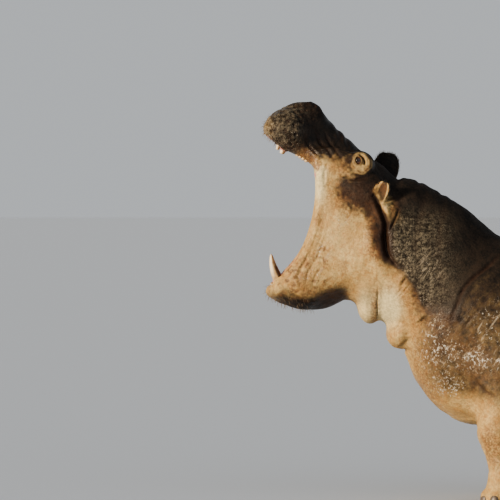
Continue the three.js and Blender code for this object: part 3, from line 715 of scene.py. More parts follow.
def from_eye(head):
    return np.sqrt(sum((head[i] - EYE[i]) ** 2 for i in range(3)))


def eye_stillness(head):
    """0 right at the eyelids, so that rough skin doesn't reach the eyeball, and 1 elsewhere."""
    return smooth(EYE_RADIUS + 1, EYE_RADIUS + 4, from_eye(head))


def in_mouth(points):
    """1 on the lining of the mouth, 0 on the outer skin."""
    return smooth(8, 1, mouth(*side_places(points)))


# The x of the front edge of the pebbled skin at each z.
NECK_FRONT = ((1130, 1190, 1250, 1325, 1385, 1440, 1600, 1700), (260, 225, 205, 150, 100, 62, 60, 110))


def neck_patch(points):
    """The coarse pebbled skin on the side of the neck."""
    x, z = points[:, 0], points[:, 2]
    front = np.interp(z, *NECK_FRONT)
    return smooth(0, 30, x - front) * smooth(560, 240, x) * smooth(1080, 1220, z) * smooth(1790, 1600, z)


# The upper edge of the pale skin, from the muzzle over the cheek, neck and flank to the rump; above it the
# hide is dark, partly its own colour and partly painted shade.
PALE_EDGE = [
    (-500, 2420), (-462, 2290), (-458, 2180), (-445, 2085), (-410, 2025), (-347, 2000), (-295, 2008),
    (-245, 2030),
    (-190, 2025), (-150, 1962), (-138, 1935), (-165, 1912), (-210, 1902), (-230, 1860), (-222, 1805),
    (-185, 1765), (-145, 1722), (-92, 1685), (-57, 1645), (-32, 1588), (-8, 1512), (18, 1436), (50, 1407),
    (102, 1372), (149, 1319), (184, 1273), (207, 1214),
    (250, 1140), (360, 1010), (520, 860), (800, 680), (1400, 600), (2000, 600), (2700, 620),
]
# Places that are paler or darker than the skin round them: x, z, half sizes, and how much.
SIDE_SPOTS = (
    (-350, 1890, 60, 120, 0.55),  # the stretched membrane at the corner of the mouth
    (-215, 1990, 80, 40, -0.25),  # the face before the eye
    (-250, 1865, 65, 65, -0.42),
    (-8, 1810, 30, 30, 0.7),  # the foot of the ear
    (-250, 1540, 150, 200, 0.1),
    (-100, 1150, 75, 130, 0.3),  # the lobe of the throat
    (60, 1140, 80, 130, 0.5),
    (38, 1735, 46, 60, 1.2),  # the fold of skin under the ear, painted pale as light on its lit face
    (110, 1650, 45, 75, 0.35),
    (-440, 1150, 180, 50, -1.0),  # the underside of the jaw, darkened as painted shade
    (-250, 1200, 90, 70, -0.6),
    (-590, 1220, 100, 60, -0.45),  # the chin
    (-430, 1310, 110, 60, -0.3),
    (240, 900, 120, 180, -0.32),
)


# The x of each line at each z: the groove behind the jowl, along which a shadow is painted, and the crease
# before the shoulder.
GROOVE = ((1380, 1443, 1495, 1560, 1625, 1690, 1755, 1900), (60, 45, 38, 38, 36, 22, -6, -90))
SHOULDER_EDGE = ((1086, 1170, 1249, 1308, 1354, 1444, 1600), (424, 450, 481, 528, 586, 700, 950))
# Where the hide is wet, with white glints painted on it: x, z, half sizes, and how much.
WET_GLINT_SPOTS = (
    (350, 900, 110, 110, 1.0),
    (395, 695, 90, 65, 1.0),
    (570, 850, 130, 70, 0.9),
    (330, 1060, 60, 60, 0.5),
    (640, 1050, 140, 170, 0.4),
    (-205, 1660, 60, 45, 0.45),
    (-330, 1480, 50, 60, 0.4),
    (-380, 1340, 70, 50, 0.4),
    (300, 1370, 120, 160, 0.3),
)
# Where the skin is reddish brown: x, z, half sizes, and how much.
RED_SPOTS = (
    (-150, 1790, 130, 120, 0.9),  # under the eye
    (-215, 1970, 90, 60, 0.6),
    (86, 1722, 34, 55, 0.8),  # under the ear, painted shade
    (-24, 1130, 26, 150, 0.7),  # the line behind the throat
    (-250, 1200, 100, 80, 1.0),  # the back of the lower jaw, reddish brown as painted warm light reflected from below
    (-450, 1350, 80, 90, 0.6),
)
UPPER_LIP = [(-590, 2080), (-500, 2085), (-420, 2030), (-385, 1985)]
LOWER_LIP = [(-420, 1440), (-470, 1330), (-430, 1240), (-300, 1200)]


def skin_tones(points, normals, crease_shade, grain):
    """The values of each point that the hide's material colours by, by name."""
    p = points.astype(float)
    x, z = p[:, 0], p[:, 2]
    up = normals[:, 2]
    q, head, _ = side_places(points)
    away, _, side = along_line(PALE_EDGE, x, z)
    above = away * side + 26 * noise(p, 110, 51) + 14 * noise(p, 40, 52) + 20 * noise(p, 15, 62)
    width = np.interp(x, (-520, -440, -300, 0, 200, 600, 900), (70, 60, 50, 70, 90, 200, 300))
    pale = smooth(1, -1, above / width)
    pale = pale * np.interp(x, (500, 900), (1.0, 0.55))
    past_crease = smooth(-20, 60, x - np.interp(z, *SHOULDER_EDGE) + 10 * noise(p, 40, 65))
    body = smooth(190, 400, x) * smooth(520, 720, z)
    body = body * np.maximum(smooth(1160, 1020, z), past_crease * smooth(1560, 1300, z))
    tone = np.interp(z, (850, 1000, 1200, 1400), (0.37, 0.34, 0.25, 0.14)) * (1 + 0.2 * noise(p, 110, 66))
    pale = pale * (1 - body) + tone * body
    for *place, amount in SIDE_SPOTS:
        pale = pale + amount * spot(x, z, *place)
    on_muzzle = smooth(500, 560, head[0]) * smooth(-150, -110, head[2])
    rim = smooth(-600, -690, x + 10 * noise(p, 30, 61))
    pale = pale * (1 - on_muzzle * (0.8 - 0.6 * rim))
    socket = np.hypot(head[0] - 192, head[2] - 94) + 7 * noise(p, 34, 56)
    lids = smooth(EYE_RADIUS + 18, EYE_RADIUS + 8, from_eye(head))
    outer = smooth(125, 155, q[1])
    forehead = smooth(1, -1, (head[2] - 152 + 8 * noise(p, 30, 59)) / 14)
    pale = np.maximum(pale, (0.72 - 0.2 * lids) * smooth(74, 56, socket) * outer * forehead)
    # painted shadow in the groove behind the jowl: the skin before it darker and reddish brown, with a dark
    # core along it
    beyond = x - np.interp(z, *GROOVE) + 8 * noise(p, 60, 54)
    groove_shade = smooth(1390, 1460, z) * smooth(1900, 1800, z) * smooth(0.1, 0.5, np.abs(normals[:, 1]))
    ear_red = 0
    # the ears' tones, with a rim painted paler partly as painted light and the inside reddish partly as
    # painted shade
    for ear in EARS:
        near, share, side_share = ear_place(points, ear)
        groove_shade = groove_shade * (1 - near)
        rim = near * smooth(0.6, 0.8, side_share + 0.25 * share)
        pale = pale * (1 - near) + ear["pale"] * (0.4 * near + 0.6 * rim)
        ear_red = ear_red + (near - rim) * ear["pale"]
    pale = pale * (1 - 0.8 * groove_shade * smooth(-60, -15, beyond) * smooth(18, 2, beyond))
    # painted shade on the downward-facing underside of the jaw
    jaw_underside_shade = smooth(-100, -260, x) * smooth(-640, -500, x) * smooth(1500, 1300, z)
    pale = pale * (1 - 0.5 * smooth(-0.3, -0.85, up) * jaw_underside_shade)
    belly = smooth(0.3, -0.9, up + 0.3 * noise(p, 90, 67)) * smooth(500, 700, x) * smooth(350, 500, z)
    pale = np.maximum(pale, 0.85 * belly)

    # painted shade: a reddish-brown ring round the outer rim of the eye's mound
    ring = np.exp(-((socket - 52) / 8) ** 2) * smooth(205, 180, head[0]) * outer * forehead
    upper_lip = along_line(UPPER_LIP, x, z)[0] + 12 * noise(p, 40, 60)
    lower_lip = along_line(LOWER_LIP, x, z)[0] + 20 * noise(p, 40, 57)
    jaw_side = smooth(-230, -330, x) * smooth(1560, 1450, z) * (1 - smooth(-560, -620, x))
    red = np.maximum.reduce([
        # reddish painted shade in the creases, and reddish blotches at random on the front
        0.8 * crease_shade + 0.35 * smooth(0.2, 0.8, noise(p, 70, 53)) * smooth(700, 300, x),
        ear_red,
        # reddish brown painted shade before the groove
        0.95 * groove_shade * smooth(-150, -60, beyond) * smooth(18, 2, beyond),
        0.5 * lids,
        0.9 * ring,
        0.6 * smooth(110, 260, x) * smooth(1350, 1150, z) * (1 - 0.7 * smooth(280, 420, x)),  # the chest
        0.9 * smooth(60, 20, upper_lip),
        0.55 * smooth(150, 60, np.abs(above)) * smooth(-50, 250, x) * smooth(1000, 600, x),
        0.55 * smooth(60, 10, lower_lip),
        0.7 * smooth(900, 300, z) * smooth(300, 600, x) * smooth(-0.2, 0.7, noise(p, 130, 58)),  # the legs
        0.8 * jaw_side * smooth(0.05, 0.5, noise(p, 20, 68)),
        strongest(RED_SPOTS, x, z),
    ])
    # the dark core of the painted shadow in the groove
    groove_width = np.interp(z, (1600, 1720), (30, 12))
    crease_shade = np.maximum(crease_shade, groove_shade * np.exp(-((beyond + 4) / groove_width) ** 2))
    wet = 0.5 + 0.5 * noise(p, 120, 55)
    wet = wet * (1 - 0.9 * smooth(150, 350, x) * smooth(1150, 1350, z))
    wet = wet * (1 - 0.9 * smooth(-160, -90, x) * smooth(0.2, 0.5, up))
    bridge = smooth(230, 280, head[0]) * smooth(560, 500, head[0]) * smooth(70, 120, head[2])
    wet = np.maximum(wet, bridge * smooth(0.0, 0.3, up))
    # wet places: glossier, and painted with pale glints in the hide material
    wet_and_glints = strongest(WET_GLINT_SPOTS, x, z)
    wet = np.maximum(wet, wet_and_glints)
    coarse = np.maximum(neck_patch(points), 0.8 * on_muzzle * smooth(-400, -500, x + 30 * noise(p, 60, 64)))
    return {
        "pale": np.clip(pale, 0, 1.5), "red": np.clip(red, 0, 1), "wet": np.clip(wet, 0, 1),
        "coarse": np.clip(coarse, 0, 1), "grain": 0.5 + grain, "wet_and_glints": wet_and_glints,
        "inside": in_mouth(points), "crease_shade": crease_shade,
    }


# ---------------------------------------------------------------- objects


def volume_of(mesh):
    """The volume that a mesh encloses, below 0 if its faces point inwards."""
    mesh.calc_loop_triangles()
    points = np.empty(len(mesh.vertices) * 3, F)
    mesh.vertices.foreach_get("co", points)
    corners = np.empty(len(mesh.loop_triangles) * 3, np.int32)
    mesh.loop_triangles.foreach_get("vertices", corners)
    a, b, c = points.reshape(-1, 3)[corners.reshape(-1, 3).T].astype(float)
    return (a * np.cross(b, c)).sum() / 6


def new_object(name, points, faces, material):
    """A smooth mesh object from points in mm, riding on the model."""
    mesh = bpy.data.meshes.new(name)
    mesh.from_pydata(to_frame(points).tolist(), [], [list(map(int, face)) for face in faces])
    mesh.polygons.foreach_set("use_smooth", np.ones(len(mesh.polygons), bool))
    mesh.materials.append(material)
    mesh.update()
    if volume_of(mesh) < 0:
        mesh.flip_normals()
    piece = bpy.data.objects.new(name, mesh)
    bpy.context.scene.collection.objects.link(piece)
    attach(piece, "root")
    return piece


def vertex_normals(mesh):
    normals = np.empty(len(mesh.vertices) * 3, F)
    mesh.vertex_normals.foreach_get("vector", normals)
    return normals.reshape(-1, 3)


def add_value(mesh, name, values):
    attribute = mesh.attributes.new(name, "FLOAT", "POINT")
    attribute.data.foreach_set("value", np.asarray(values, F))


FLESH_NODES = [
    "head", "lower_jaw", "neck", "trunk", "tail", "fore_leg_left", "fore_leg_right", "hind_leg_left",
    "hind_leg_right", "ear_left", "ear_right",
]


def make_skin(material):
    """The skin, meshed finest round the eyes, then wrinkled outwards along its normals and toned."""
    eye_x, _, eye_z = out_of(HEAD, *EYE)
    xs = grid_lines(-740, 2560, [(-700, 130, 6.5), (eye_x - 40, eye_x + 40, 3.5), (-440, -360, 4.5)], 13)
    ys = grid_lines(-560, 560, [(-300, 300, 7), (-225, -160, 4), (160, 225, 4)], 10)
    zs = grid_lines(-30, 2390, [(1020, 2380, 6.5), (eye_z - 40, eye_z + 40, 3.5), (-10, 90, 7)], 11)
    points, quads = mesh_form(skin_form, xs, ys, zs)
    points = settled(skin_form, points)
    skin = new_object("skin", points, quads, material)
    normals = vertex_normals(skin.data)
    move, crease_shade, grain = skin_detail(points, normals)
    raised = points + normals * move[:, None]
    raised[:, 2] = np.maximum(raised[:, 2], 0)
    skin.data.vertices.foreach_set("co", to_frame(raised).astype(F).ravel())
    for name, values in skin_tones(points, normals, crease_shade, grain).items():
        add_value(skin.data, name, values)
    skin.data.update()
    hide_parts(*FLESH_NODES)
    return skin


def ring_faces(levels, around):
    """Quads between closed rings of points, and the two ends closed by fans on two further points."""
    faces = []
    ahead = [(i, (i + 1) % around) for i in range(around)]
    last = (levels - 1) * around
    for ring in range(0, last, around):
        faces += [(ring + i, ring + j, ring + around + j, ring + around + i) for i, j in ahead]
    for i, j in ahead:
        faces += [(last + around, j, i), (last + around + 1, last + i, last + j)]
    return faces


def shares(levels):
    return [level / (levels - 1) for level in range(levels)]


def circle(around):
    """The angles of a ring's points, their cosines and their sines."""
    angles = np.arange(around) / around * 2 * math.pi
    return angles, np.cos(angles), np.sin(angles)


def stacked(name, bodies, material, slot):
    """A piece of one or more bodies, each a stack of rings and its two end points."""
    points, faces, along = [], [], []
    for rings, ends in bodies:
        start, around = len(points), len(rings[0])
        faces += [tuple(start + index for index in face) for face in ring_faces(len(rings), around)]
        points += [*np.concatenate(rings), *ends]
        along += [*np.repeat(shares(len(rings)), around), 0, 1]
    piece = new_object(name, points, faces, material)
    if slot in ("tooth", "nail"):
        add_value(piece.data, "share", along)
    return piece


def curve_through(points, t):
    a, b, c = (np.array(point, float) for point in points)
    return a * (1 - t) ** 2 + b * 2 * t * (1 - t) + c * t ** 2


def make_tooth(name, side, jaw, curve, radii, flat, taper, levels, material):
    """A curved tooth with fine lengthwise ridges and a worn tip; it replaces the node of its name."""
    control = [out_of(jaw, forward, aside * side, up) for forward, aside, up in curve]
    angles, cos, sin = circle(28)
    rings, behind = [], []
    for t in shares(levels):
        ahead = unit(curve_through(control, min(t + 0.01, 1.0)) - curve_through(control, max(t - 0.01, 0.0)))
        deep = unit(np.cross(ahead, (0.0, 1.0, 0.0)))
        wide = np.cross(deep, ahead) * flat
        radius = radii[0] + (radii[1] - radii[0]) * t ** taper
        rounded = math.sqrt(max(1 - max(t - 0.93, 0) ** 2 / 0.07 ** 2 * 0.8, 0.04))
        ridge = 1 + 0.025 * np.cos(angles * 7) + 0.012 * np.sin(angles * 13 + 4 * t)
        turned = np.outer(cos, wide) + np.outer(sin, deep)
        rings.append(curve_through(control, t) + (radius * rounded * ridge)[:, None] * turned)
        behind += [*turned[:, 0]]
    piece = stacked(name, [(rings, (control[0], control[2]))], material, "tooth")
    add_value(piece.data, "behind", behind + [0, 0])
    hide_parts(name)


def make_cheek_teeth(material):
    """Four worn crowns in each row, each with two pairs of cusps."""
    angles, cos, sin = circle(24)
    worn = 0.8  # the share of a crown's height where its top begins
    outline = (np.abs(cos) ** 3 + np.abs(sin) ** 3) ** (-1 / 3) * (1 - 0.10 * np.cos(2 * angles) ** 2)
    for side_name, side in SIDES:
        for row, (jaw, up, gum, first, spacing) in CHEEK_ROWS.items():
            bodies = []
            for crown in range(4):
                forward, aside = first + crown * spacing, (144 - 2 * crown) * side
                rings = []
                for t in shares(10):
                    closing = 1 - max(t - worn, 0) / (1 - worn) * 0.75
                    cusps = 4.5 * np.abs(np.sin(2 * angles)) * closing * (t >= worn)
                    lift = -20 + 50 * min(t * 1.25, 1.0) + cusps
                    u = (spacing / 2 - 2) * cos * outline * closing
                    w = 16.5 * sin * outline * closing
                    rings.append(out_of(jaw, forward + u, aside + w, gum + up * lift))
                bodies.append((rings, [out_of(jaw, forward, aside, gum + up * end) for end in (-20, 27)]))
            stacked(f"cheek_teeth_{row}_{side_name}", bodies, material, "tooth")


def make_premolars(material):
    """A few small blunt pegs before the cheek teeth, just showing under the upper lip."""
    _, cos, sin = circle(14)
    aside, gum = 130, -70
    for side_name, side in SIDES:
        bodies = []
        for peg, forward in enumerate((462, 483, 505, 526)):
            rings = []
            for t in shares(7):
                radius = 11.5 * math.sqrt(max(1 - t ** 4, 0.03))
                w = (aside + 0.8 * radius * sin) * side
                rings.append(out_of(HEAD, forward + radius * cos, w, gum - (26 + peg) * t))
            bodies.append((rings, [out_of(HEAD, forward, aside * side, v) for v in (gum, gum - 27 - peg)]))
        stacked(f"premolars_{side_name}", bodies, material, "tooth")


def make_tongue(material):
    """A thick tongue with a groove down its middle and a soft edge."""
    middle, half_length, half_width, height = 395, 262, 96, -68
    _, w, v = circle(48)
    top = np.maximum(v, 0)
    rings = []
    levels = 56
    for r in range(levels):
        turn = (r + 0.5) / levels * math.pi
        reach = math.sin(turn) ** 0.8
        groove = 7 * np.exp(-(w / 0.14) ** 2) * top * reach
        edge = 1 + 0.03 * np.sin(r * 0.9 + np.where(w > 0, 0, 2)) * np.abs(w)
        lift = 46 * reach * v - groove + 4 * top * np.cos(w * 3)
        forward = middle - half_length * math.cos(turn)
        ring = out_of(JAW, forward, half_width * reach * w * edge, height + lift)
        ring[:, 2] += 1.6 * noise(ring, 14, 61) * top
        rings.append(ring)
    ends = [out_of(JAW, middle + reach, 0, height) for reach in (-half_length, half_length)]
    piece = stacked("tongue", [(rings, ends)], material, "tongue")
    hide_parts("tongue")


def make_eye(name, side, material):
    """An eyeball with a raised cornea, and how far each point is from the middle of the iris."""
    forward, aside, up = EYE
    centre = out_of(HEAD, forward, aside * side, up)
    gaze = unit(out_of(HEAD, forward + 0.25, (aside + 1.0) * side, up - 0.02) - centre)
    ahead = out_of(HEAD, forward + 1, aside * side, up) - centre
    level = unit(ahead - gaze * (ahead @ gaze))
    upright = np.cross(gaze, level)
    _, cos, sin = circle(64)
    ball = EYE_RADIUS - 0.6
    rings, iris, slit = [], [], []
    for r in range(40):
        turn = (r + 0.5) / 40 * math.pi
        reach = ball + 1.6 * math.exp(-(turn / 0.42) ** 4)
        c, s = cos * math.sin(turn), sin * math.sin(turn)
        rings.append(centre + reach * (gaze * math.cos(turn) + np.outer(c, level) + np.outer(s, upright)))
        iris += [turn] * len(c)
        slit += [*np.hypot(c / 1.9, s)]
    ends = (centre + gaze * (EYE_RADIUS + 1), centre - gaze * ball)
    piece = stacked(name, [(rings, ends)], material, "eye")
    add_value(piece.data, "iris", iris + [0, math.pi])
    add_value(piece.data, "slit", slit + [0, 0])
    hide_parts(name)


def make_nails(material):
    """A blunt horn nail on each toe, ridged from top to bottom and worn at the floor."""
    angles, cos, sin = circle(26)
    ridge = 1 + 0.02 * np.cos(angles * 16)
    for foot, legs in (("fore", FORE_LEGS), ("hind", HIND_LEGS)):
        offset, reach = TOES[foot]
        out = reach + 34
        for side_name, side in SIDES:
            for index, toe in enumerate(TOE_ANGLES):
                c, s = cos_sin(toe)
                outward, sideways = np.array((-c, side * s, 0)), np.array((s, side * c, 0))
                centre = np.array((legs[side] + offset - out * c, side * (LEG_SPREAD + out * s), 0))
                rings = []
                for t in shares(14):
                    rounded = math.sqrt(max(1 - (max(t - 0.55, 0) / 0.47) ** 2.2, 0.01))
                    width = (29 - 5 * t) * rounded
                    deep = np.outer(0.66 * width * cos * ridge - 5 * t, outward)
                    rise = np.outer(4 + 56 * t + 3 * (1 - t) * np.abs(sin), UP)
                    rings.append(centre + deep + np.outer(width * sin, sideways) + rise)
                ends = (centre + 4 * UP, centre - 5 * outward + 61 * UP)
                name = f"{foot}_nail_{side_name}_{index + 1}"
                piece = stacked(name, [(rings, ends)], material, "nail")
                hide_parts(name)


# ---------------------------------------------------------------- bristles


def unwrapped(points):
    """Places on an unwrap of the skin round the body's long axis, from 0 to 1."""
    x, y, z = points[:, 0], points[:, 1], points[:, 2]
    middle = np.interp(x, (-700, -100, 500, 1200, 2500), (1700, 1600, 1200, 960, 950))
    return np.stack([(x + 760) / 3400, np.arctan2(y, z - middle) / (2 * math.pi) + 0.5], 1)


def make_bristles(name, roots, leans, lengths, radius, material):
    """One joined mesh of thin curved bristles; each is a small patch at its root's place on the unwrap."""
    rng = np.random.default_rng(7)
    patch_size = 0.0015
    points, faces, uvs = [], [], []
    corners = [np.array((math.cos(turn), math.sin(turn))) for turn in circle(3)[0]]
    for root, lean, length, place in zip(roots, leans, lengths, unwrapped(roots)):
        lean = unit(lean)
        across = unit(np.cross(lean, rng.normal(size=3)))
        axes = np.stack([across, np.cross(lean, across)])
        bend = across * rng.uniform(-0.35, 0.35) * length + np.array((0, 0, -0.12 * length))
        start = len(points)
        for step, t in enumerate((0.0, 0.35, 0.7)):
            centre = root + lean * length * t + bend * t * t - lean * 2 * (step == 0)
            size = radius * (1 - 0.75 * t)
            for corner in corners:
                points.append(centre + size * (corner @ axes))
                uvs.append(place + patch_size * corner * (1 - t))
        points.append(root + lean * length + bend)
        uvs.append(place)
        for ring in range(2):
            for i in range(3):
                j = (i + 1) % 3
                a, b = start + ring * 3 + i, start + ring * 3 + j
                faces.append((a, b, b + 3, a + 3))
        faces += [(start + 6 + i, start + 6 + (i + 1) % 3, start + 9) for i in range(3)]
        faces.append((start + 2, start + 1, start))
    piece = new_object(name, points, faces, material)
    layer = piece.data.uv_layers.new(name="OFBake")
    loops = np.empty(len(piece.data.loops), np.int32)
    piece.data.loops.foreach_get("vertex_index", loops)
    layer.data.foreach_set("uv", np.array(uvs, F)[loops].ravel())


def scattered(points, normals, share_of_each, seed):
    """Picks points at random, each with its own chance."""
    rng = np.random.default_rng(seed)
    picked = rng.random(len(points)) < share_of_each
    return points[picked].astype(float), normals[picked].astype(float), rng


WHISKER_CHANCE = 0.3 / 7  # the chance that a point of the lips grows a whisker


def add_bristles(skin, material):
    """Short bristles on the lips, the rims of the ears and the tail."""
    count = len(skin.data.vertices)
    points = np.empty(count * 3, F)
    skin.data.vertices.foreach_get("co", points)
    points = points.reshape(-1, 3) * 1000 - np.array((SHIFT * 1000, 0, 0))
    normals = vertex_normals(skin.data)
    _, head, jaw = side_places(points)
    outside = in_mouth(points) < 0.2

    lips = smooth(590, 660, head[0]) * smooth(40, -30, head[2]) * outside
    chin = smooth(600, 680, jaw[0]) * smooth(20, -20, jaw[2]) * outside
    roots, out, rng = scattered(points, normals, WHISKER_CHANCE * np.maximum(lips, chin), 71)
    leans = out + np.array((0.3, 0, -0.35)) + rng.normal(size=out.shape) * 0.25
    make_bristles("whiskers", roots, leans, rng.uniform(12, 34, len(roots)), 0.9, material)

    hairs = []
    for index, ear in enumerate(EARS):
        along = ear_axes(ear)[2]
        near, t, side = ear_place(points, ear)
        rim = (near > 0.1) & (t > 0.15) & ((side > 0.78) | (t > 0.88))
        chosen, out, rng = scattered(points, normals, 0.5 * rim, 81 + index)
        leans = out * 0.6 + along + rng.normal(size=out.shape) * 0.25
        hairs.append((chosen, leans, rng.uniform(10, 22, len(chosen))))
    make_bristles("ear_hair", *(np.concatenate(values) for values in zip(*hairs)), 0.7, material)

    x, z = points[:, 0], points[:, 2]
    tip = (x > 2470) & (z < 930)
    edge = smooth(0.2, 0.8, np.abs(normals[:, 1])) + smooth(-0.3, -0.8, normals[:, 2]) * 2
    roots, out, rng = scattered(points, normals, np.minimum(0.35 * tip * edge * smooth(940, 820, z), 1), 91)
    leans = out * 0.5 + np.array((0, 0, -1.0)) + rng.normal(size=out.shape) * 0.15
    make_bristles("tail_hair", roots, leans, rng.uniform(25, 60, len(roots)), 1.1, material)


# ---------------------------------------------------------------- materials


class Nodes:
    """A short way to write a material's nodes."""

    def __init__(self, name):
        self.material = bpy.data.materials.new(name)
        self.material.use_nodes = True
        self.tree = self.material.node_tree
        self.shader = self.tree.nodes["Principled BSDF"]
        self.place = self.node("ShaderNodeTexCoord").outputs["Object"]

    def node(self, kind, **settings):
        made = self.tree.nodes.new(kind)
        for key, value in settings.items():
            setattr(made, key, value)
        return made

    def put(self, socket, value):
        if isinstance(value, bpy.types.NodeSocket):
            self.tree.links.new(value, socket)
        else:
            socket.default_value = value

    def value(self, name):
        return self.node("ShaderNodeAttribute", attribute_name=name).outputs["Fac"]

    def filled(self, made, **inputs):
        for name, value in inputs.items():
            self.put(made.inputs[name.replace("_", " ")], value)
        return made.outputs

    def noise(self, scale, detail=4.0, roughness=0.55, place=None):
        made = self.node("ShaderNodeTexNoise")
        where = place or self.place
        return self.filled(made, Vector=where, Scale=scale, Detail=detail, Roughness=roughness)["Fac"]

    def cells(self, scale, feature="F1"):
        made = self.node("ShaderNodeTexVoronoi", feature=feature)
        return self.filled(made, Vector=self.place, Scale=scale)["Distance"]

    def ranged(self, value, low_in, high_in, low_out=0.0, high_out=1.0):
        made = self.node("ShaderNodeMapRange", interpolation_type="SMOOTHSTEP")
        limits = {"From_Min": low_in, "From_Max": high_in, "To_Min": low_out, "To_Max": high_out}
        return self.filled(made, Value=value, **limits)["Result"]

    def math(self, operation, a, b=0.0):
        made = self.node("ShaderNodeMath", operation=operation)
        self.put(made.inputs[0], a)
        self.put(made.inputs[1], b)
        return made.outputs[0]

    def times(self, a, b):
        return self.math("MULTIPLY", a, b)

    def plus(self, a, b):
        return self.math("ADD", a, b)

    def swing(self, value, size, middle=0.5):
        """How far a value is from the middle, times a size."""
        return self.times(self.math("SUBTRACT", value, middle), size)

    def mix(self, factor, a, b):
        made = self.node("ShaderNodeMix", data_type="RGBA")
        self.put(made.inputs["Factor"], factor)
        for socket, value in ((made.inputs[6], a), (made.inputs[7], b)):
            self.put(socket, value if isinstance(value, bpy.types.NodeSocket) else (*value, 1.0))
        return made.outputs[2]

    def stretched(self, times, turn=0.0):
        """The place with its upward direction, turned towards +X by turn degrees, drawn out."""
        made = self.node("ShaderNodeMapping", vector_type="TEXTURE")
        rotation, scale = (0.0, math.radians(turn), 0.0), (1.0, 1.0, times)
        return self.filled(made, Vector=self.place, Rotation=rotation, Scale=scale)["Vector"]

    def bump(self, layers):
        """Chains bump nodes, each given as (height, strength, distance in metres)."""
        below = {}
        for height, strength, distance in layers:
            made = self.node("ShaderNodeBump")
            settings = {"Strength": strength, "Distance": distance, "Height": height}
            below = {"Normal": self.filled(made, **settings, **below)["Normal"]}
        self.filled(self.shader, **below)

    def finish(self, colour, roughness):
        self.filled(self.shader, Base_Color=colour, Roughness=roughness)
        return self.material


def hide_material():
    """Dark back, partly painted shade, pale cheeks and belly, pebbles with painted glints and shade,
    scratches, painted glints of water, painted shade in creases and the groove, and the flesh inside the
    mouth.
    """
    n = Nodes("hide")
    pale, red, wet, coarse, grain, wet_and_glints, inside, crease_shade = (
        n.value(name) for name in ("pale", "red", "wet", "coarse", "grain", "wet_and_glints", "inside", "crease_shade")
    )
    blotches = n.ranged(n.noise(9, 5, 0.6), 0.35, 0.65)
    mottle = n.noise(26, 5, 0.65)
    specks = n.noise(75, 4, 0.65)
    # the dark hide: its own dark grey-brown, made near-black as painted shade on the back, the top of the
    # head and the rear of the muzzle
    dark = n.mix(blotches, (0.006, 0.005, 0.004), (0.022, 0.015, 0.010))
    tan = n.mix(blotches, (0.45, 0.290, 0.115), (0.58, 0.430, 0.200))
    tan = n.mix(n.ranged(n.noise(38, 5, 0.7), 0.47, 0.64, 0.0, 0.6), tan, (0.42, 0.215, 0.075))
    tan = n.mix(n.ranged(pale, 1.0, 1.4), tan, (0.70, 0.595, 0.345))
    colour = n.mix(n.ranged(n.plus(pale, n.swing(mottle, 0.6)), 0.15, 0.85), dark, tan)
    brown = n.mix(pale, (0.045, 0.020, 0.011), (0.27, 0.125, 0.052))
    # On the pebbled skin the grains' tops are painted pale as glints and the gaps near black as painted
    # shade.
    light = n.mix(n.ranged(pale, 0.1, 0.6), (0.21, 0.178, 0.125), (0.39, 0.32, 0.215))
    crumbs = n.plus(grain, n.swing(n.noise(130, 4, 0.7), 1.6))
    pebbled = n.mix(n.ranged(crumbs, 0.25, 0.95), (0.020, 0.015, 0.009), light)
    scratched = n.ranged(n.noise(52, 3, 0.7, n.stretched(9.0, 36.0)), 0.55, 0.66)
    # painted highlights: pale glints of water, clumped where the hide is wet
    painted_glints = n.plus(n.noise(62, 4, 0.75), n.swing(wet_and_glints, 0.10, 1.0))
    painted_glints = n.ranged(n.plus(painted_glints, n.swing(n.noise(16, 3, 0.6), 0.3)), 0.51, 0.62)
    flesh = n.mix(n.noise(14, 4), (0.50, 0.20, 0.17), (0.70, 0.38, 0.32))
    layers = (
        (n.times(red, n.ranged(mottle, 0.3, 0.6)), brown),
        (n.times(n.ranged(specks, 0.58, 0.42), n.ranged(red, 0, 1, 0.22, 0.6)), (0.060, 0.034, 0.020)),
        (n.times(coarse, n.ranged(mottle, 0.25, 0.6, 0.35, 0.9)), pebbled),
        (n.times(scratched, n.ranged(wet_and_glints, 0.05, 0.35, 0.0, 0.45)), (0.50, 0.42, 0.31)),
        # the painted glints
        (n.times(painted_glints, n.ranged(wet_and_glints, 0.05, 0.4, 0.0, 0.8)), (0.62, 0.58, 0.50)),
        # painted shade: creases, pits and the groove darkened
        (n.times(crease_shade, n.ranged(pale, 0.3, 0.9, 0.92, 0.45)), (0.030, 0.015, 0.009)),
        (inside, flesh),
    )
    for amount, layer in layers:
        colour = n.mix(amount, colour, layer)

    roughness = n.plus(n.ranged(wet, 0.2, 0.9, 0.72, 0.34), n.swing(specks, 0.4))
    roughness = n.plus(n.plus(roughness, n.times(coarse, -0.12)), n.times(inside, -0.22))
    cracks = n.ranged(n.cells(62, "DISTANCE_TO_EDGE"), 0.0, 0.12)
    fine = n.ranged(n.cells(170, "DISTANCE_TO_EDGE"), 0.0, 0.16)
    n.bump([
        (n.noise(34, 4, 0.6), n.ranged(coarse, 0, 1, 0.35, 0.9), 0.010),
        (cracks, n.ranged(coarse, 0, 1, 0.3, 0.8), 0.0035),
        (fine, 0.25, 0.0015),
        (n.noise(420, 3, 0.6), 0.25, 0.001),
    ])
    n.shader.inputs["Specular IOR Level"].default_value = 0.28
    return n.finish(colour, roughness)


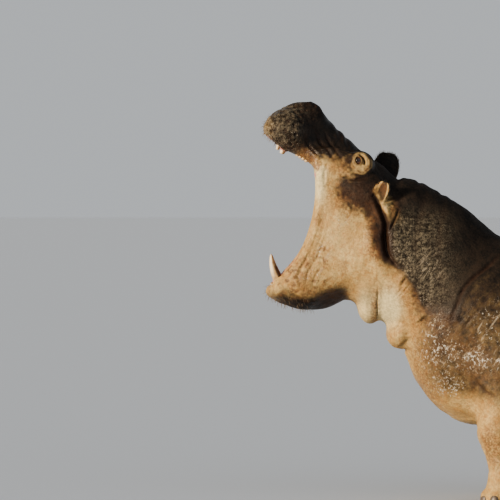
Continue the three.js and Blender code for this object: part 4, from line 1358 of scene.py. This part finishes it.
def tooth_material():
    n = Nodes("ivory")
    share, behind = n.value("share"), n.value("behind")
    lines = n.noise(60, 4, 0.6, n.stretched(8.3))
    ivory = n.mix(n.ranged(lines, 0.3, 0.7), (0.66, 0.52, 0.33), (0.83, 0.75, 0.60))
    stained = n.mix(n.ranged(n.noise(24, 4), 0.35, 0.65), (0.26, 0.14, 0.06), (0.52, 0.36, 0.18))
    stain_and_shade = n.plus(n.ranged(share, 0.75, 0.15, 0.0, 0.75), n.swing(lines, 0.8))
    # the rear side gets more brown stain, partly as painted shade
    stain_and_shade = n.plus(stain_and_shade, n.ranged(behind, -0.5, 0.5, 0.0, 0.9))
    colour = n.mix(n.ranged(stain_and_shade, 0.1, 0.7), ivory, stained)
    # painted shade: the rear side darkened below the tip
    shaded = n.times(n.ranged(behind, 0.0, 0.4), n.ranged(share, 0.85, 0.6, 0.0, 0.9))
    colour = n.mix(shaded, colour, (0.055, 0.022, 0.010))
    n.bump([(lines, 0.5, 0.002), (n.noise(260, 3), 0.2, 0.0006)])
    return n.finish(colour, n.ranged(lines, 0.3, 0.7, 0.42, 0.26))


def tongue_material():
    n = Nodes("tongue")
    spots = n.cells(190)
    colour = n.mix(n.noise(22, 4), (0.46, 0.17, 0.15), (0.68, 0.36, 0.31))
    colour = n.mix(n.ranged(spots, 0.1, 0.5), (0.74, 0.46, 0.40), colour)
    n.bump([(n.noise(50, 3), 0.4, 0.004), (spots, 0.5, 0.0015)])
    return n.finish(colour, n.ranged(n.noise(80), 0.35, 0.65, 0.24, 0.42))


def eye_material():
    n = Nodes("eye")
    iris, slit = n.value("iris"), n.value("slit")
    fibres = n.noise(900, 4, 0.7)
    veins = n.ranged(n.noise(320, 5, 0.7), 0.52, 0.62)
    white = n.mix(veins, (0.16, 0.08, 0.055), (0.18, 0.035, 0.022))
    # the iris: its own dark brown, made near-black as painted shade
    brown = n.mix(fibres, (0.012, 0.006, 0.003), (0.055, 0.024, 0.010))
    colour = n.mix(n.ranged(iris, 0.56, 0.64), brown, white)
    limbus = n.times(n.ranged(iris, 0.46, 0.56), n.ranged(iris, 0.68, 0.58))
    colour = n.mix(limbus, colour, (0.02, 0.01, 0.006))
    colour = n.mix(n.ranged(slit, 0.19, 0.15), colour, (0.003, 0.002, 0.002))
    n.bump([(veins, 0.1, 0.0002)])
    n.shader.inputs["Coat Weight"].default_value = 1.0
    n.shader.inputs["Coat Roughness"].default_value = 0.02
    return n.finish(colour, n.ranged(iris, 0.5, 0.9, 0.08, 0.25))


def nail_material():
    n = Nodes("horn")
    share = n.value("share")
    lines = n.noise(90, 4, 0.6, n.stretched(6.7))
    horn = n.mix(n.ranged(lines, 0.3, 0.7), (0.060, 0.045, 0.034), (0.19, 0.15, 0.115))
    worn = n.mix(n.noise(60), (0.30, 0.25, 0.19), (0.20, 0.155, 0.115))
    colour = n.mix(n.ranged(share, 0.35, 0.0), horn, worn)
    n.bump([(lines, 0.5, 0.002), (n.noise(300), 0.25, 0.0006)])
    return n.finish(colour, n.ranged(lines, 0.3, 0.7, 0.55, 0.38))


def bristle_material():
    n = Nodes("bristle")
    colour = n.mix(n.noise(40), (0.10, 0.065, 0.04), (0.30, 0.22, 0.14))
    n.bump([(n.noise(900), 0.2, 0.0003)])
    return n.finish(colour, n.ranged(n.noise(60), 0.3, 0.7, 0.5, 0.62))


# ---------------------------------------------------------------- the stage


def make_stage():
    half = 90.0
    mesh = bpy.data.meshes.new("floor")
    corners = [(half * a, half * b, 0) for a, b in ((-1, -1), (1, -1), (1, 1), (-1, 1))]
    mesh.from_pydata(corners, [], [(0, 1, 2, 3)])
    n = Nodes("floor")
    mesh.materials.append(n.finish((0.63, 0.70, 0.80, 1.0), 0.9))
    floor = bpy.data.objects.new("floor", mesh)
    bpy.context.scene.collection.objects.link(floor)

    world = bpy.data.worlds.new("studio")
    world.use_nodes = True
    tree = world.node_tree
    background = tree.nodes["Background"]
    height = tree.nodes.new("ShaderNodeSeparateXYZ")
    tree.links.new(tree.nodes.new("ShaderNodeTexCoord").outputs["Generated"], height.inputs[0])
    strength = tree.nodes.new("ShaderNodeMapRange")
    for name, number in zip(("From Min", "From Max", "To Min", "To Max"), (0.08, 0.7, 0.52, 0.26)):
        strength.inputs[name].default_value = number
    tree.links.new(height.outputs["Z"], strength.inputs["Value"])
    tree.links.new(strength.outputs["Result"], background.inputs["Strength"])
    background.inputs["Color"].default_value = (0.84, 0.87, 0.90, 1.0)
    bpy.context.scene.world = world


def add_sun(name, towards, strength, soft, colour):
    """A distant soft light that comes from the direction towards."""
    data = bpy.data.lights.new(name, "SUN")
    data.energy = strength
    data.angle = math.radians(soft)
    data.color = colour
    light = bpy.data.objects.new(name, data)
    light.rotation_mode = "QUATERNION"
    light.rotation_quaternion = Vector(towards).to_track_quat("Z", "Y")
    bpy.context.scene.collection.objects.link(light)


def make_lights():
    add_sun("key", (-0.82, -0.56, 0.20), 5.2, 10, (1.0, 0.83, 0.62))
    add_sun("fill", (0.35, -0.75, 0.55), 0.25, 60, (0.85, 0.92, 1.0))
    bpy.context.scene.view_settings.look = "AgX - Medium High Contrast"


VIEW_WIDTH = 2.95  # metres of the animal's side plane across the picture
VIEW_CENTRE = (-755.0, 0.0, 1475.0)  # mm: what the middle of the picture shows
VIEW_DISTANCE = 25.0
VIEW_RAISED = 1.5  # degrees


def make_camera():
    data = bpy.data.cameras.new("camera")
    data.sensor_width = 36.0
    data.lens = data.sensor_width * VIEW_DISTANCE / VIEW_WIDTH
    data.clip_end = 400.0
    camera = bpy.data.objects.new("camera", data)
    level, raised = cos_sin(VIEW_RAISED)
    back = Vector((0, -level, raised))
    camera.location = Vector(to_frame(VIEW_CENTRE)) + back * VIEW_DISTANCE
    camera.rotation_mode = "QUATERNION"
    camera.rotation_quaternion = back.to_track_quat("Z", "Y")
    bpy.context.scene.collection.objects.link(camera)
    bpy.context.scene.camera = camera


ivory = tooth_material()
eye_finish = eye_material()
skin = make_skin(hide_material())
for side_name, side in SIDES:
    make_eye(f"eye_{side_name}", side, eye_finish)
    for kind, tooth in TEETH.items():
        make_tooth(f"{kind}_{side_name}", side, *tooth, ivory)
make_cheek_teeth(ivory)
make_premolars(ivory)
make_tongue(tongue_material())
make_nails(nail_material())
add_bristles(skin, bristle_material())
make_stage()
make_lights()
make_camera()
